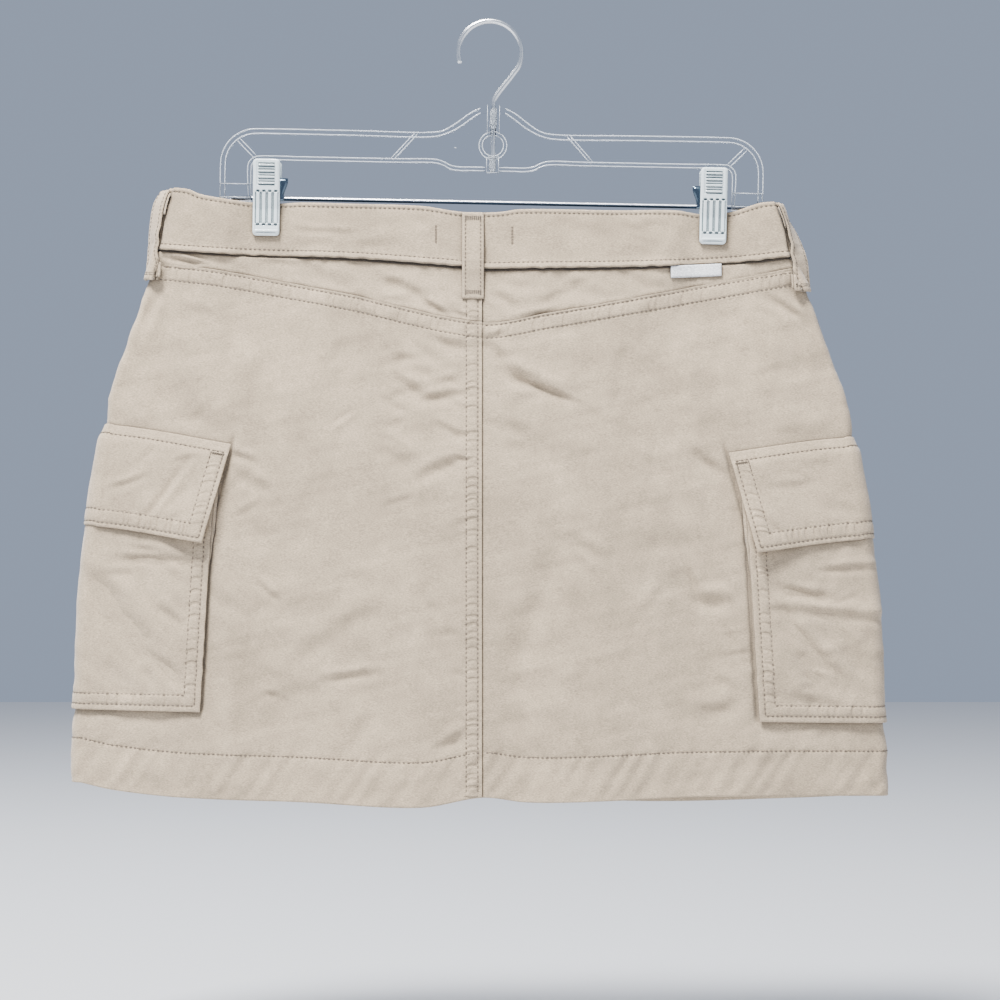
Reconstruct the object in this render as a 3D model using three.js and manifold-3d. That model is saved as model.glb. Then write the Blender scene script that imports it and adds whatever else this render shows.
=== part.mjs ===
import * as THREE from 'three';
import { mergeVertices } from 'three/addons/utils/BufferGeometryUtils.js';
import Module from 'manifold-3d';

// A cargo mini skirt held by its waistband on a clear clip hanger, seen from the back.
// Millimetres. X to the right of someone looking at the back of the skirt, Y towards the
// front of the skirt, Z up. The origin is the inner top of the hook, where a rail holds it.

// Driving dimensions
const WAIST_DROP = 121;        // hook's inner top down to the waist line
const TILT = 0.0175;           // the whole hanger droops to the right by one degree
const SKIRT_SHIFT = 7;         // skirt's middle lies this far left of the hook
const CLOTH = 1.0;             // panel, pocket and flap thickness
const BAND_OUT = 0.5;          // waistband stands this far proud of the panels
const BAND_IN = 1.3;           // and reaches this far inside their outer face
const LAYER_GAP = 0.35;        // clear space between pieces that lie on each other
const SEAM_GAP = 0.3;          // clear space between pieces that meet edge to edge
const LOOP_WIDTH = 14.2;
const LOOP_THICK = 1.5;
const FOLD_PART = 0.15;        // share of a quarter of the girth that is the round side fold
const BACK_SEAM_X = 1.8;       // centre back seam, right of the skirt's middle
const CLIP_X = 145;            // clips, either side of the hanger's middle
const CLIP_WIDTH = 18;
const PINCH_HALF = 2.3;        // half the depth of the skirt between the jaws

// Half width of the skirt's outline, the radius of its side folds and how far the middle
// bellies out beyond them, by height below the waist line. Above the hips the skirt leans left.
const OUTLINE = [
  { h: -12, half: 196.5, lean: -3.5, fold: 4.4, belly: 1.0 },
  { h: 0, half: 201.5, lean: -3.5, fold: 4.5, belly: 1.2 },
  { h: 15, half: 204.5, lean: -3.2, fold: 4.5, belly: 1.8 },
  { h: 30, half: 207.5, lean: -2.8, fold: 4.5, belly: 2.6 },
  { h: 48, half: 213.5, lean: -1.2, fold: 4.6, belly: 4.4 },
  { h: 65, half: 219.5, lean: 0, fold: 4.8, belly: 6.5 },
  { h: 95, half: 230, lean: 0, fold: 5.0, belly: 9.5 },
  { h: 128, half: 240.8, lean: 0, fold: 5.5, belly: 12.2 },
  { h: 172, half: 251, lean: 0, fold: 6.0, belly: 14.5 },
  { h: 205, half: 256.2, lean: 0, fold: 6.3, belly: 15.5 },
  { h: 268, half: 261.8, lean: 0, fold: 6.8, belly: 17 },
  { h: 325, half: 264.1, lean: 0, fold: 7.2, belly: 18 },
  { h: 392, half: 266.5, lean: 0, fold: 7.6, belly: 18.5 },
];

// The panel under a pocket lies inside the outline by the pocket's layers.
const TUCK = [
  { h: 128, in: 0 },
  { h: 150, in: 3.4 },
  { h: 205, in: 3.9 },
  { h: 240, in: 2.7 },
  { h: 318, in: 2.6 },
  { h: 345, in: 0 },
];

// Edges and seams: height below the waist line by place across, -1 left fold to 1 right fold.
const BACK_TOP = [
  { f: -1, h: -10.3 }, { f: -0.96, h: -9.5 }, { f: -0.91, h: -6.3 }, { f: -0.85, h: -4.4 },
  { f: -0.76, h: -2.2 }, { f: -0.68, h: -1.2 }, { f: -0.57, h: -2 }, { f: -0.41, h: -1.8 },
  { f: -0.18, h: -1.1 }, { f: -0.05, h: 2.2 }, { f: 0.07, h: 2.0 }, { f: 0.15, h: -0.2 },
  { f: 0.46, h: -0.5 }, { f: 0.66, h: -1.2 }, { f: 0.75, h: 0.8 }, { f: 0.82, h: -0.3 },
  { f: 0.86, h: -1.5 }, { f: 0.92, h: -5.1 }, { f: 0.96, h: -7.2 }, { f: 1, h: -8 },
];
const FRONT_TOP = [
  { f: -1, h: -10.3 }, { f: -0.93, h: -6 }, { f: -0.83, h: 0 }, { f: -0.7, h: 1.5 },
  { f: -0.35, h: 5.5 }, { f: 0, h: 8.5 }, { f: 0.35, h: 5.5 }, { f: 0.7, h: 2 },
  { f: 0.86, h: 0.8 }, { f: 0.94, h: -4.5 }, { f: 1, h: -8 },
];
const BACK_BAND_SEAM = [
  { f: -1, h: 30 }, { f: -0.8, h: 32 }, { f: -0.41, h: 33.6 }, { f: -0.23, h: 35.4 },
  { f: -0.05, h: 37.8 }, { f: 0.02, h: 38.9 }, { f: 0.14, h: 38.2 }, { f: 0.46, h: 36.3 },
  { f: 0.67, h: 34.1 }, { f: 0.87, h: 30.9 }, { f: 1, h: 27.7 },
];
const FRONT_BAND_SEAM = [
  { f: -1, h: 30 }, { f: -0.7, h: 37 }, { f: -0.35, h: 42.5 }, { f: 0, h: 46 },
  { f: 0.35, h: 42.5 }, { f: 0.7, h: 36.5 }, { f: 1, h: 27.7 },
];
const YOKE_SEAM = [
  { f: -1, h: 39 }, { f: -0.8, h: 43.2 }, { f: -0.41, h: 57 }, { f: 0, h: 74 },
  { f: 0.19, h: 67.7 }, { f: 0.52, h: 54.4 }, { f: 0.76, h: 44.5 }, { f: 1, h: 35.2 },
];
const BACK_HEM = [
  { f: -1, h: 376.5 }, { f: -0.915, h: 380.7 }, { f: -0.755, h: 384.3 }, { f: -0.44, h: 385.7 },
  { f: -0.15, h: 387.3 }, { f: 0, h: 380.5 }, { f: 0.11, h: 383.2 }, { f: 0.345, h: 380.7 },
  { f: 0.49, h: 378.5 }, { f: 0.75, h: 376.6 }, { f: 1, h: 376.1 },
];
const FRONT_HEM = [
  { f: -1, h: 376.5 }, { f: -0.8, h: 380 }, { f: -0.3, h: 383 }, { f: 0, h: 384 },
  { f: 0.45, h: 384.5 }, { f: 0.8, h: 380 }, { f: 1, h: 376.1 },
];

// The largest soft folds. x and h are the middle, run is half its length down the skirt,
// lean is how far it drifts sideways for each millimetre down, out is its height (minus: hollow).
const FOLDS = [
  { name: 'hollow by the back seam', face: -1, x: 24, h: 345, run: 95, lean: -0.05, wide: 17, out: -5 },
  { name: 'roll beside it', face: -1, x: 74, h: 330, run: 120, lean: 0.06, wide: 30, out: 3 },
  { name: 'roll left of the seam', face: -1, x: -48, h: 350, run: 110, lean: -0.04, wide: 28, out: 3 },
  { name: 'by the left pocket', face: -1, x: -128, h: 300, run: 130, lean: 0.05, wide: 24, out: -2.5 },
  { name: 'by the right pocket', face: -1, x: 140, h: 290, run: 120, lean: -0.04, wide: 24, out: -2.5 },
  { name: 'left of the front closing', face: 1, x: -60, h: 330, run: 110, lean: 0.05, wide: 24, out: -3.5 },
  { name: 'roll on the right front', face: 1, x: 70, h: 320, run: 120, lean: -0.05, wide: 30, out: 3 },
];

// A smooth curve through one column of a table, flat beyond its ends.
function curve(rows, at, value) {
  const slopes = rows.map((row, i) => {
    const before = rows[Math.max(i - 1, 0)];
    const after = rows[Math.min(i + 1, rows.length - 1)];
    return (after[value] - before[value]) / (after[at] - before[at]);
  });
  return (t) => {
    if (t <= rows[0][at]) return rows[0][value];
    for (let i = 1; i < rows.length; i += 1) {
      const low = rows[i - 1];
      const high = rows[i];
      if (t > high[at]) continue;
      const span = high[at] - low[at];
      const s = (t - low[at]) / span;
      const rise = high[value] - low[value];
      const bend = s * (1 - s);
      return low[value] + rise * s * s * (3 - 2 * s)
        + bend * span * (slopes[i - 1] * (1 - s) - slopes[i] * s);
    }
    return rows[rows.length - 1][value];
  };
}

function smooth(from, to, t) {
  const s = Math.min(1, Math.max(0, (t - from) / (to - from)));
  return s * s * (3 - 2 * s);
}

const outlineHalf = curve(OUTLINE, 'h', 'half');
const outlineLean = curve(OUTLINE, 'h', 'lean');
const foldRadius = curve(OUTLINE, 'h', 'fold');
const bellyDepth = curve(OUTLINE, 'h', 'belly');
const pocketTuck = curve(TUCK, 'h', 'in');
const backTop = curve(BACK_TOP, 'f', 'h');
const frontTop = curve(FRONT_TOP, 'f', 'h');
const backBandSeam = curve(BACK_BAND_SEAM, 'f', 'h');
const frontBandSeam = curve(FRONT_BAND_SEAM, 'f', 'h');
const yokeSeam = curve(YOKE_SEAM, 'f', 'h');
const backHem = curve(BACK_HEM, 'f', 'h');
const frontHem = curve(FRONT_HEM, 'f', 'h');

// How hard the jaws press the two walls together at a place: 1 between them, 0 away.
function pinch(x, h) {
  const fromJaws = Math.abs(Math.abs(x - SKIRT_SHIFT) - CLIP_X);
  const spread = 24 + 0.45 * Math.max(0, h - 10);
  return (1 - smooth(10, spread, fromJaws)) * (1 - smooth(26, 112, h));
}

function foldsOut(face, x, h) {
  let out = 0;
  for (const fold of FOLDS) {
    if (fold.face !== face) continue;
    const along = (h - fold.h) / fold.run;
    const across = (x - fold.x - fold.lean * (h - fold.h)) / fold.wide;
    out += fold.out * Math.exp(-across * across - along ** 4);
  }
  return out;
}

// Girth 0 is the left fold, 1 the centre back, 2 the right fold, 3 the centre front.
function quarterOf(girth) {
  const turn = ((girth % 4) + 4) % 4;
  if (turn <= 1) return { side: -1, face: -1, q: turn };
  if (turn <= 2) return { side: 1, face: -1, q: 2 - turn };
  if (turn <= 3) return { side: 1, face: 1, q: turn - 2 };
  return { side: -1, face: 1, q: 4 - turn };
}

function acrossOf(girth) {
  const { side, q } = quarterOf(girth);
  const inward = Math.max(0, (q - FOLD_PART) / (1 - FOLD_PART));
  return side * (1 - inward);
}

function toFrame(x, y, h) {
  const right = x - SKIRT_SHIFT;
  return new THREE.Vector3(right, y, -WAIST_DROP - TILT * right - h);
}

// Outer face of the skirt's wall.
function wallPoint(girth, h) {
  const { side, face, q } = quarterOf(girth);
  const radius = foldRadius(h);
  const reach = outlineHalf(h) - pocketTuck(h) - radius;
  const lean = outlineLean(h);
  if (q <= FOLD_PART) {
    const angle = (q / FOLD_PART) * Math.PI / 2;
    return toFrame(side * (reach + radius * Math.cos(angle)) + lean, face * radius * Math.sin(angle), h);
  }
  const inward = (q - FOLD_PART) / (1 - FOLD_PART);
  const middle = face < 0 ? BACK_SEAM_X : 0;
  const x = side * reach * (1 - inward) + middle * inward + lean;
  const free = radius + bellyDepth(h) * (1 - (1 - inward) ** 2.4) + foldsOut(face, x, h);
  const held = pinch(x, h);
  return toFrame(x, face * (free * (1 - held) + PINCH_HALF * held), h);
}

function wallNormal(girth, h) {
  const step = 0.004;
  const alongGirth = wallPoint(girth + step, h).sub(wallPoint(girth - step, h));
  const down = wallPoint(girth, h + 1).sub(wallPoint(girth, h - 1));
  return down.cross(alongGirth).normalize();
}

function wallAt(girth, h, out) {
  return wallPoint(girth, h).addScaledVector(wallNormal(girth, h), out);
}

// Girth of a place x across on one face.
function girthOf(face, x, h) {
  const reach = outlineHalf(h) - pocketTuck(h) - foldRadius(h);
  const middle = face < 0 ? BACK_SEAM_X : 0;
  const place = x - outlineLean(h);
  const side = place < middle ? -1 : 1;
  const inward = (reach - side * place) / (reach - side * middle);
  const q = FOLD_PART + (1 - FOLD_PART) * inward;
  if (face < 0) return side < 0 ? q : 2 - q;
  return side > 0 ? 2 + q : 4 - q;
}

// A closed sheet of cloth: place(a, d) gives the outer and inner points at column a, row d.
function sheet(columns, rows, place) {
  const positions = [];
  const wide = columns.length;
  const tall = rows.length;
  const layer = wide * tall;
  const outer = [];
  const inner = [];
  for (const d of rows) {
    for (const a of columns) {
      const pair = place(a, d);
      outer.push(pair[0]);
      inner.push(pair[1]);
    }
  }
  for (const p of [...outer, ...inner]) positions.push(p.x, p.y, p.z);
  const faces = [];
  const quad = (a, b, c, d) => faces.push(a, b, c, a, c, d);
  for (let j = 0; j < tall - 1; j += 1) {
    for (let i = 0; i < wide - 1; i += 1) {
      const p = j * wide + i;
      quad(p, p + wide, p + wide + 1, p + 1);
      quad(layer + p, layer + p + 1, layer + p + wide + 1, layer + p + wide);
    }
    const left = j * wide;
    const right = left + wide - 1;
    quad(left, layer + left, layer + left + wide, left + wide);
    quad(right, right + wide, layer + right + wide, layer + right);
  }
  for (let i = 0; i < wide - 1; i += 1) {
    const low = (tall - 1) * wide + i;
    quad(i, i + 1, layer + i + 1, layer + i);
    quad(low, layer + low, layer + low + 1, low + 1);
  }
  return closed(positions, faces);
}

// Geometry from points and faces, turned to face outwards.
function closed(positions, faces) {
  let volume = 0;
  const at = (i) => new THREE.Vector3(positions[3 * i], positions[3 * i + 1], positions[3 * i + 2]);
  for (let i = 0; i < faces.length; i += 3) {
    volume += at(faces[i]).dot(at(faces[i + 1]).cross(at(faces[i + 2])));
  }
  const turned = [];
  for (let i = 0; i < faces.length; i += 3) {
    if (volume < 0) turned.push(faces[i], faces[i + 2], faces[i + 1]);
    else turned.push(faces[i], faces[i + 1], faces[i + 2]);
  }
  const geometry = new THREE.BufferGeometry();
  geometry.setAttribute('position', new THREE.Float32BufferAttribute(positions, 3));
  geometry.setIndex(turned);
  geometry.computeVertexNormals();
  return geometry;
}

// Evenly spaced values from one end to the other, both ends included.
function steps(from, to, count) {
  return Array.from({ length: count + 1 }, (_, i) => from + (to - from) * i / count);
}

// Columns of one quarter, from the fold in to the middle.
const FOLD_COLUMNS = [0, 0.05, 0.1];
const FLAT_COLUMNS = steps(FOLD_PART, 1, 15);
const QUARTER = [...FOLD_COLUMNS, ...FLAT_COLUMNS];
const PANEL_ROWS = [0, 0.035, 0.08, 0.13, 0.19, 0.26, 0.34, 0.42, 0.5, 0.58, 0.66, 0.74, 0.82, 0.91, 1];
const SIDE_SEAM = 0.05;        // the side seams lie just on the front of the folds

const group = new THREE.Group();
function add(name, geometry, look) {
  const material = new THREE.MeshStandardMaterial(look);
  const mesh = new THREE.Mesh(geometry, material);
  mesh.name = name;
  group.add(mesh);
}
const TWILL = { color: 0xc4b9a6, roughness: 0.95, metalness: 0 };
const POCKET_TWILL = { color: 0xbfb39f, roughness: 0.95, metalness: 0 };
const STEEL = { color: 0xb9bfc2, roughness: 0.3, metalness: 1 };
const CLEAR = { color: 0xdfe7ea, roughness: 0.15, metalness: 0 };
const PALE = { color: 0xdfe9e6, roughness: 0.35, metalness: 0.1 };
const TAB = { color: 0xf2f2f0, roughness: 0.9, metalness: 0 };

// Body panels and yokes. Each runs from a side seam to the middle, between two edge curves,
// and stops half a seam gap short of the middle.
function girthTrim(h) {
  return (SEAM_GAP / 2) / outlineHalf(h);
}
function bodyPiece(quarter, rows, topEdge, bottomEdge) {
  const [middle, direction] = quarter;
  const isBack = middle === 1;
  const columns = isBack ? [-SIDE_SEAM, ...QUARTER] : QUARTER.slice(1);
  return sheet(columns, rows, (q, d) => {
    const isMiddle = q === 1;
    const isSeam = q === columns[0];
    const rough = middle - direction * (1 - q);
    const f = acrossOf(rough);
    const top = topEdge(f);
    const bottom = bottomEdge(f);
    const h = top + (bottom - top) * d;
    let girth = rough;
    if (isMiddle) girth -= direction * girthTrim(h);
    if (isSeam) girth += direction * 0.0018;
    return [wallAt(girth, h, 0), wallAt(girth, h, -CLOTH)];
  });
}
const BACK_LEFT = [1, 1];
const BACK_RIGHT = [1, -1];
const FRONT_RIGHT = [3, 1];
const FRONT_LEFT = [3, -1];
const below = (edge) => (f) => edge(f) + SEAM_GAP / 2;
const above = (edge) => (f) => edge(f) - SEAM_GAP / 2;
const YOKE_ROWS = [0, 0.33, 0.66, 1];

add('back_left', bodyPiece(BACK_LEFT, PANEL_ROWS, below(yokeSeam), backHem), TWILL);
add('back_right', bodyPiece(BACK_RIGHT, PANEL_ROWS, below(yokeSeam), backHem), TWILL);
add('back_yoke_left', bodyPiece(BACK_LEFT, YOKE_ROWS, below(backBandSeam), above(yokeSeam)), TWILL);
add('back_yoke_right', bodyPiece(BACK_RIGHT, YOKE_ROWS, below(backBandSeam), above(yokeSeam)), TWILL);
add('front_left', bodyPiece(FRONT_LEFT, PANEL_ROWS, below(frontBandSeam), frontHem), TWILL);
add('front_right', bodyPiece(FRONT_RIGHT, PANEL_ROWS, below(frontBandSeam), frontHem), TWILL);

// The waistband is one strip all round. It starts at the centre front on the wearer's left,
// goes round the back and ends behind its own start, an underlap for the button.
const UNDERLAP = 0.17;
const UNDERLAP_DROP = 2.45;
const bandColumns = [
  ...QUARTER.slice().reverse().map((q) => -q),
  ...QUARTER.slice(1),
  ...QUARTER.slice(0, -1).reverse().map((q) => 2 - q),
  ...QUARTER.slice(1).map((q) => 2 + q),
  3 + UNDERLAP / 2,
  3 + UNDERLAP,
];
add('waistband', sheet(bandColumns, [0, 0.34, 0.67, 1], (column, d) => {
  const isBack = column >= 0 && column <= 2;
  const f = acrossOf(column);
  const top = isBack ? backTop(f) : frontTop(f);
  const bottom = (isBack ? backBandSeam(f) : frontBandSeam(f)) - SEAM_GAP / 2;
  const h = top + (bottom - top) * d;
  const under = UNDERLAP_DROP * smooth(3 - 0.08, 3 - 0.01, column);
  return [wallAt(column, h, BAND_OUT - under), wallAt(column, h, -BAND_IN - under)];
}), TWILL);

// Belt loops that lie flat: straps sewn down at the waistband's top and below its seam.
function flatLoop(face, x, topH, bottomH, seamH) {
  const across = [-LOOP_WIDTH / 2, 0, LOOP_WIDTH / 2];
  return sheet(across, steps(0, 1, 9), (a, d) => {
    const h = topH + (bottomH - topH) * d;
    const girth = girthOf(face, x + a, h);
    const onBand = BAND_OUT * (1 - smooth(seamH + 1, seamH + 8, h));
    const bow = 1.3 * Math.sin(Math.PI * d) ** 2;
    const seat = LAYER_GAP + onBand + bow;
    return [wallAt(girth, h, seat + LOOP_THICK), wallAt(girth, h, seat)];
  });
}
add('loop_back', flatLoop(-1, -3.9, 2.6, 59, 38.5), TWILL);
add('loop_front_left', flatLoop(1, -80, 6, 62, 42), TWILL);
add('loop_front_right', flatLoop(1, 80, 6, 62, 42), TWILL);

// The side loops stand off the side folds and are seen turned away. Their two edges, by
// height: back is the edge nearer the back panel, outer the edge that stands out.
const LEFT_LOOP = [
  { h: -8.5, back: 202, outer: 206.5 }, { h: 0, back: 205.5, outer: 211.5 },
  { h: 14, back: 207.5, outer: 214 }, { h: 28, back: 209, outer: 215 },
  { h: 40, back: 209, outer: 216 }, { h: 50, back: 208.5, outer: 217 },
];
const RIGHT_LOOP = [
  { h: -6.5, back: 195.8, outer: 197 }, { h: 3, back: 199.5, outer: 200.6 },
  { h: 13, back: 202, outer: 206.6 }, { h: 28, back: 204, outer: 212.8 },
  { h: 40, back: 205, outer: 214.4 }, { h: 50, back: 205.5, outer: 215.2 },
];
function sideLoop(side, table) {
  const backEdge = curve(table, 'h', 'back');
  const outerEdge = curve(table, 'h', 'outer');
  const topH = table[0].h;
  const bottomH = table[table.length - 1].h;
  const at = (a, h) => {
    const radius = foldRadius(h);
    const centre = outlineHalf(h) - radius + side * outlineLean(h);
    const clear = radius + LAYER_GAP + BAND_OUT + 0.8 * smooth(36, 48, h);
    const turned = outerEdge(h) - backEdge(h);
    const depth = Math.sqrt(LOOP_WIDTH ** 2 - turned ** 2);
    let x = backEdge(h) + turned * a - centre;
    let y = -radius - 0.8 + depth * a;
    const far = Math.hypot(x, y);
    if (x > 0 && far < clear) {
      x *= clear / far;
      y *= clear / far;
    }
    if (x <= 0) y = Math.sign(y) * Math.max(Math.abs(y), clear + 0.5);
    return toFrame(side * (x + centre), y, h);
  };
  return sheet(steps(0, 1, 6), steps(0, 1, 9), (a, d) => {
    const h = topH + (bottomH - topH) * d;
    const point = at(a, h);
    const along = at(a + 0.02, h).sub(at(a - 0.02, h));
    const down = at(a, h + 0.5).sub(at(a, h - 0.5));
    const normal = along.cross(down).normalize();
    if (normal.x * side < 0) normal.negate();
    return [point.clone().addScaledVector(normal, LOOP_THICK), point];
  });
}
add('loop_side_left', sideLoop(-1, LEFT_LOOP), TWILL);
add('loop_side_right', sideLoop(1, RIGHT_LOOP), TWILL);

// Cargo pockets, wrapped round the side folds. A wrap place runs from -2 (the back edge)
// through -1 to 1 (the round fold) to 2 (the front edge).
const POCKET_EDGE = [
  { h: 155, x: 168.5 }, { h: 220, x: 173.4 }, { h: 329, x: 179.8 },
];
const FLAP_EDGE = [
  { h: 144, x: 157 }, { h: 155.5, x: 160 }, { h: 220, x: 177.6 },
];
const FLAP_TOP = [{ c: 0, h: 144 }, { c: 1, h: 144.5 }, { c: 2, h: 155.5 }];
const FLAP_BOTTOM = [{ c: 0, h: 210 }, { c: 1, h: 210.5 }, { c: 2, h: 220 }];
const POCKET_BOTTOM = 329;
const POCKET_TOP_BELOW_FLAP = 15;
const GUSSET_OUT = LAYER_GAP + 0.15;
const POCKET_OUT = GUSSET_OUT + CLOTH + LAYER_GAP;
const FLAP_OUT = POCKET_OUT + CLOTH + LAYER_GAP;
const pocketEdge = curve(POCKET_EDGE, 'h', 'x');
const flapEdge = curve(FLAP_EDGE, 'h', 'x');
const flapTop = curve(FLAP_TOP, 'c', 'h');
const flapBottom = curve(FLAP_BOTTOM, 'c', 'h');

function wrapGirth(side, c, h, edge) {
  const far = Math.abs(c);
  let q = FOLD_PART * far;
  if (far > 1) {
    const edgeQ = girthOf(-1, -edge(h), h);
    q = FOLD_PART + (far - 1) * (edgeQ - FOLD_PART);
  }
  const fromFold = c < 0 ? q : -q;
  return side < 0 ? fromFold : 2 - fromFold;
}
const WRAP = [...steps(-2, -1, 5), -2 / 3, -1 / 3, 0, 1 / 3, 2 / 3, ...steps(1, 2, 5)];

function pocket(side) {
  return sheet(WRAP, steps(0, 1, 8), (c, d) => {
    const top = flapTop(Math.abs(c)) + POCKET_TOP_BELOW_FLAP;
    const h = top + (POCKET_BOTTOM - top) * d;
    const girth = wrapGirth(side, c, h, pocketEdge);
    return [wallAt(girth, h, POCKET_OUT + CLOTH), wallAt(girth, h, POCKET_OUT)];
  });
}

// The bellows strip lies folded flat under the pocket's two sides and bottom. Its fold
// shows a little outside the pocket's edge near the top.
const GUSSET_WIDE = 14;
const GUSSET_SHOWS = 2.4;
function gusset(side) {
  const path = [];
  const legTop = 172;
  const inset = 0.8;
  const low = POCKET_BOTTOM - inset;
  const legEnd = low - GUSSET_WIDE;
  const leg = (sign, h) => ({ sign, h });
  for (const h of steps(legTop, legEnd, 6)) path.push(leg(-1, h));
  for (const c of WRAP.slice(2, -2)) path.push({ c });
  for (const h of steps(legEnd, legTop, 6)) path.push(leg(1, h));
  const legEdge = (h) => pocketEdge(h) + inset - (GUSSET_SHOWS + inset) * (1 - smooth(225, 300, h));
  const innerEdge = (h) => legEdge(h) + GUSSET_WIDE;
  return sheet(steps(0, path.length - 1, path.length - 1), [0, 1], (i, d) => {
    const step = path[i];
    let girth;
    let h;
    if (step.sign) {
      h = step.h;
      const corner = h === legEnd && d === 0;
      if (corner) h = low;
      girth = wrapGirth(side, 2 * step.sign, h, d === 0 ? legEdge : innerEdge);
    } else {
      h = d === 0 ? low : legEnd;
      girth = wrapGirth(side, step.c, h, pocketEdge);
    }
    return [wallAt(girth, h, GUSSET_OUT + CLOTH), wallAt(girth, h, GUSSET_OUT)];
  });
}

// The flap is sewn to the panel above the pocket, steps up over its top and lifts a little
// towards its lower edge.
const FLAP_STEP = 11;
const FLAP_LIFT = 1.6;
const TOP_SEAT = LAYER_GAP + 0.15;
function flap(side) {
  const rows = [0, 0.08, 0.17, 0.35, 0.55, 0.78, 1];
  return sheet(WRAP, rows, (c, d) => {
    const far = Math.abs(c);
    const h = flapTop(far) + (flapBottom(far) - flapTop(far)) * d;
    const girth = wrapGirth(side, c, h, flapEdge);
    const up = smooth(0, 1, (h - flapTop(far)) / FLAP_STEP);
    const lift = FLAP_LIFT * smooth(0.3, 1, d) * smooth(0.6, 2, far);
    const seat = TOP_SEAT + (FLAP_OUT - TOP_SEAT) * up + lift;
    return [wallAt(girth, h, seat + CLOTH), wallAt(girth, h, seat)];
  });
}
for (const [side, name] of [[-1, 'left'], [1, 'right']]) {
  add(`pocket_${name}`, pocket(side), POCKET_TWILL);
  add(`gusset_${name}`, gusset(side), POCKET_TWILL);
  add(`flap_${name}`, flap(side), POCKET_TWILL);
}

// A small woven tab hangs from the waistband's lower seam, on the wearer's right.
const TAB_LEFT = 124;
const TAB_RIGHT = 157.3;
const TAB_DROP = 7.8;
const TAB_THICK = 1;
const TAB_SEAT = LAYER_GAP + 0.15;
add('side_tab', sheet(steps(TAB_LEFT, TAB_RIGHT, 4), steps(0, 1, 2), (x, d) => {
  const top = backBandSeam(x / outlineHalf(36)) + SEAM_GAP;
  const h = top + TAB_DROP * d;
  const girth = girthOf(-1, x, h);
  return [wallAt(girth, h, TAB_SEAT + TAB_THICK), wallAt(girth, h, TAB_SEAT)];
}), TAB);

// The button closes the waistband: a shallow turned cap with a rolled rim.
const BUTTON_X = -12;
const BUTTON_H = 27;
const BUTTON_RADIUS = 8.5;
function button() {
  const profile = [
    [0, 0], [6, 0], [BUTTON_RADIUS - 0.6, 0.6], [BUTTON_RADIUS, 1.5],
    [BUTTON_RADIUS - 0.8, 2.5], [BUTTON_RADIUS - 2.2, 2.5], [BUTTON_RADIUS - 3, 1.9], [0, 1.9],
  ].map(([r, z]) => new THREE.Vector2(r, z));
  const geometry = new THREE.LatheGeometry(profile, 20);
  const girth = girthOf(1, BUTTON_X, BUTTON_H);
  const place = wallAt(girth, BUTTON_H, BAND_OUT + LAYER_GAP);
  const turn = new THREE.Quaternion().setFromUnitVectors(
    new THREE.Vector3(0, 1, 0),
    wallNormal(girth, BUTTON_H),
  );
  geometry.applyQuaternion(turn);
  geometry.translate(place.x, place.y, place.z);
  return geometry;
}

// Solids joined and cut with booleans.
const wasm = await Module();
wasm.setup();
function solid(geometry) {
  const bare = geometry.clone();
  bare.deleteAttribute('normal');
  bare.deleteAttribute('uv');
  const merged = mergeVertices(bare, 1e-4);
  return new wasm.Manifold(new wasm.Mesh({
    numProp: 3,
    vertProperties: merged.attributes.position.array,
    triVerts: new Uint32Array(merged.index.array),
  }));
}
function geometryOf(manifold) {
  const mesh = manifold.getMesh();
  const positions = [];
  for (let i = 0; i < mesh.numVert; i += 1) {
    const at = i * mesh.numProp;
    positions.push(mesh.vertProperties[at], mesh.vertProperties[at + 1], mesh.vertProperties[at + 2]);
  }
  return closed(positions, Array.from(mesh.triVerts));
}
function welded(geometry) {
  return geometryOf(solid(geometry));
}
add('waist_button', welded(button()), STEEL);

// Hanger. Its own drawing is flat: u across from its middle, v up from the rod.
const HANGER_X = 0.8;
const ROD_Z = 4.4 - WAIST_DROP;
const HANGER_TURN = 0.0192;
function toHanger(u, y, v) {
  const c = Math.cos(HANGER_TURN);
  const s = Math.sin(HANGER_TURN);
  return new THREE.Vector3(HANGER_X + u * c + v * s, y, ROD_Z - u * s + v * c);
}
function hang(geometry) {
  const points = geometry.attributes.position;
  for (let i = 0; i < points.count; i += 1) {
    const p = toHanger(points.getX(i), points.getY(i), points.getZ(i));
    points.setXYZ(i, p.x, p.y, p.z);
  }
  geometry.computeVertexNormals();
  return geometry;
}

// A flat outline pushed out both ways from the hanger's middle plane.
function slab(points, depth, holes = []) {
  const shape = new THREE.Shape(points.map(([u, v]) => new THREE.Vector2(u, v)));
  for (const hole of holes) {
    shape.holes.push(new THREE.Path(hole.map(([u, v]) => new THREE.Vector2(u, v))));
  }
  const geometry = new THREE.ExtrudeGeometry(shape, { depth, bevelEnabled: false, steps: 1 });
  geometry.translate(0, 0, -depth / 2);
  geometry.rotateX(Math.PI / 2);
  return geometry;
}
function box(u0, u1, y0, y1, v0, v1) {
  const geometry = new THREE.BoxGeometry(u1 - u0, y1 - y0, v1 - v0);
  geometry.translate((u0 + u1) / 2, (y0 + y1) / 2, (v0 + v1) / 2);
  return geometry;
}
function arc(centreU, centreV, radius, from, to, count) {
  return steps(from, to, count).map((degrees) => {
    const angle = degrees * Math.PI / 180;
    return [centreU + radius * Math.cos(angle), centreV + radius * Math.sin(angle)];
  });
}

const FRAME_HALF = 176.5;
const FRAME_TOP = 45.3;
const FRAME_FOOT = 0;
const CORNER = 23;
const LEG_INNER = 156;
const BAR_UNDER = 24.7;
const DIP_UNDER = 20.2;
const HUMP_TOP = 61.5;
const WEB = 1.8;
const RIB_DEPTH = 4;

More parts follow.
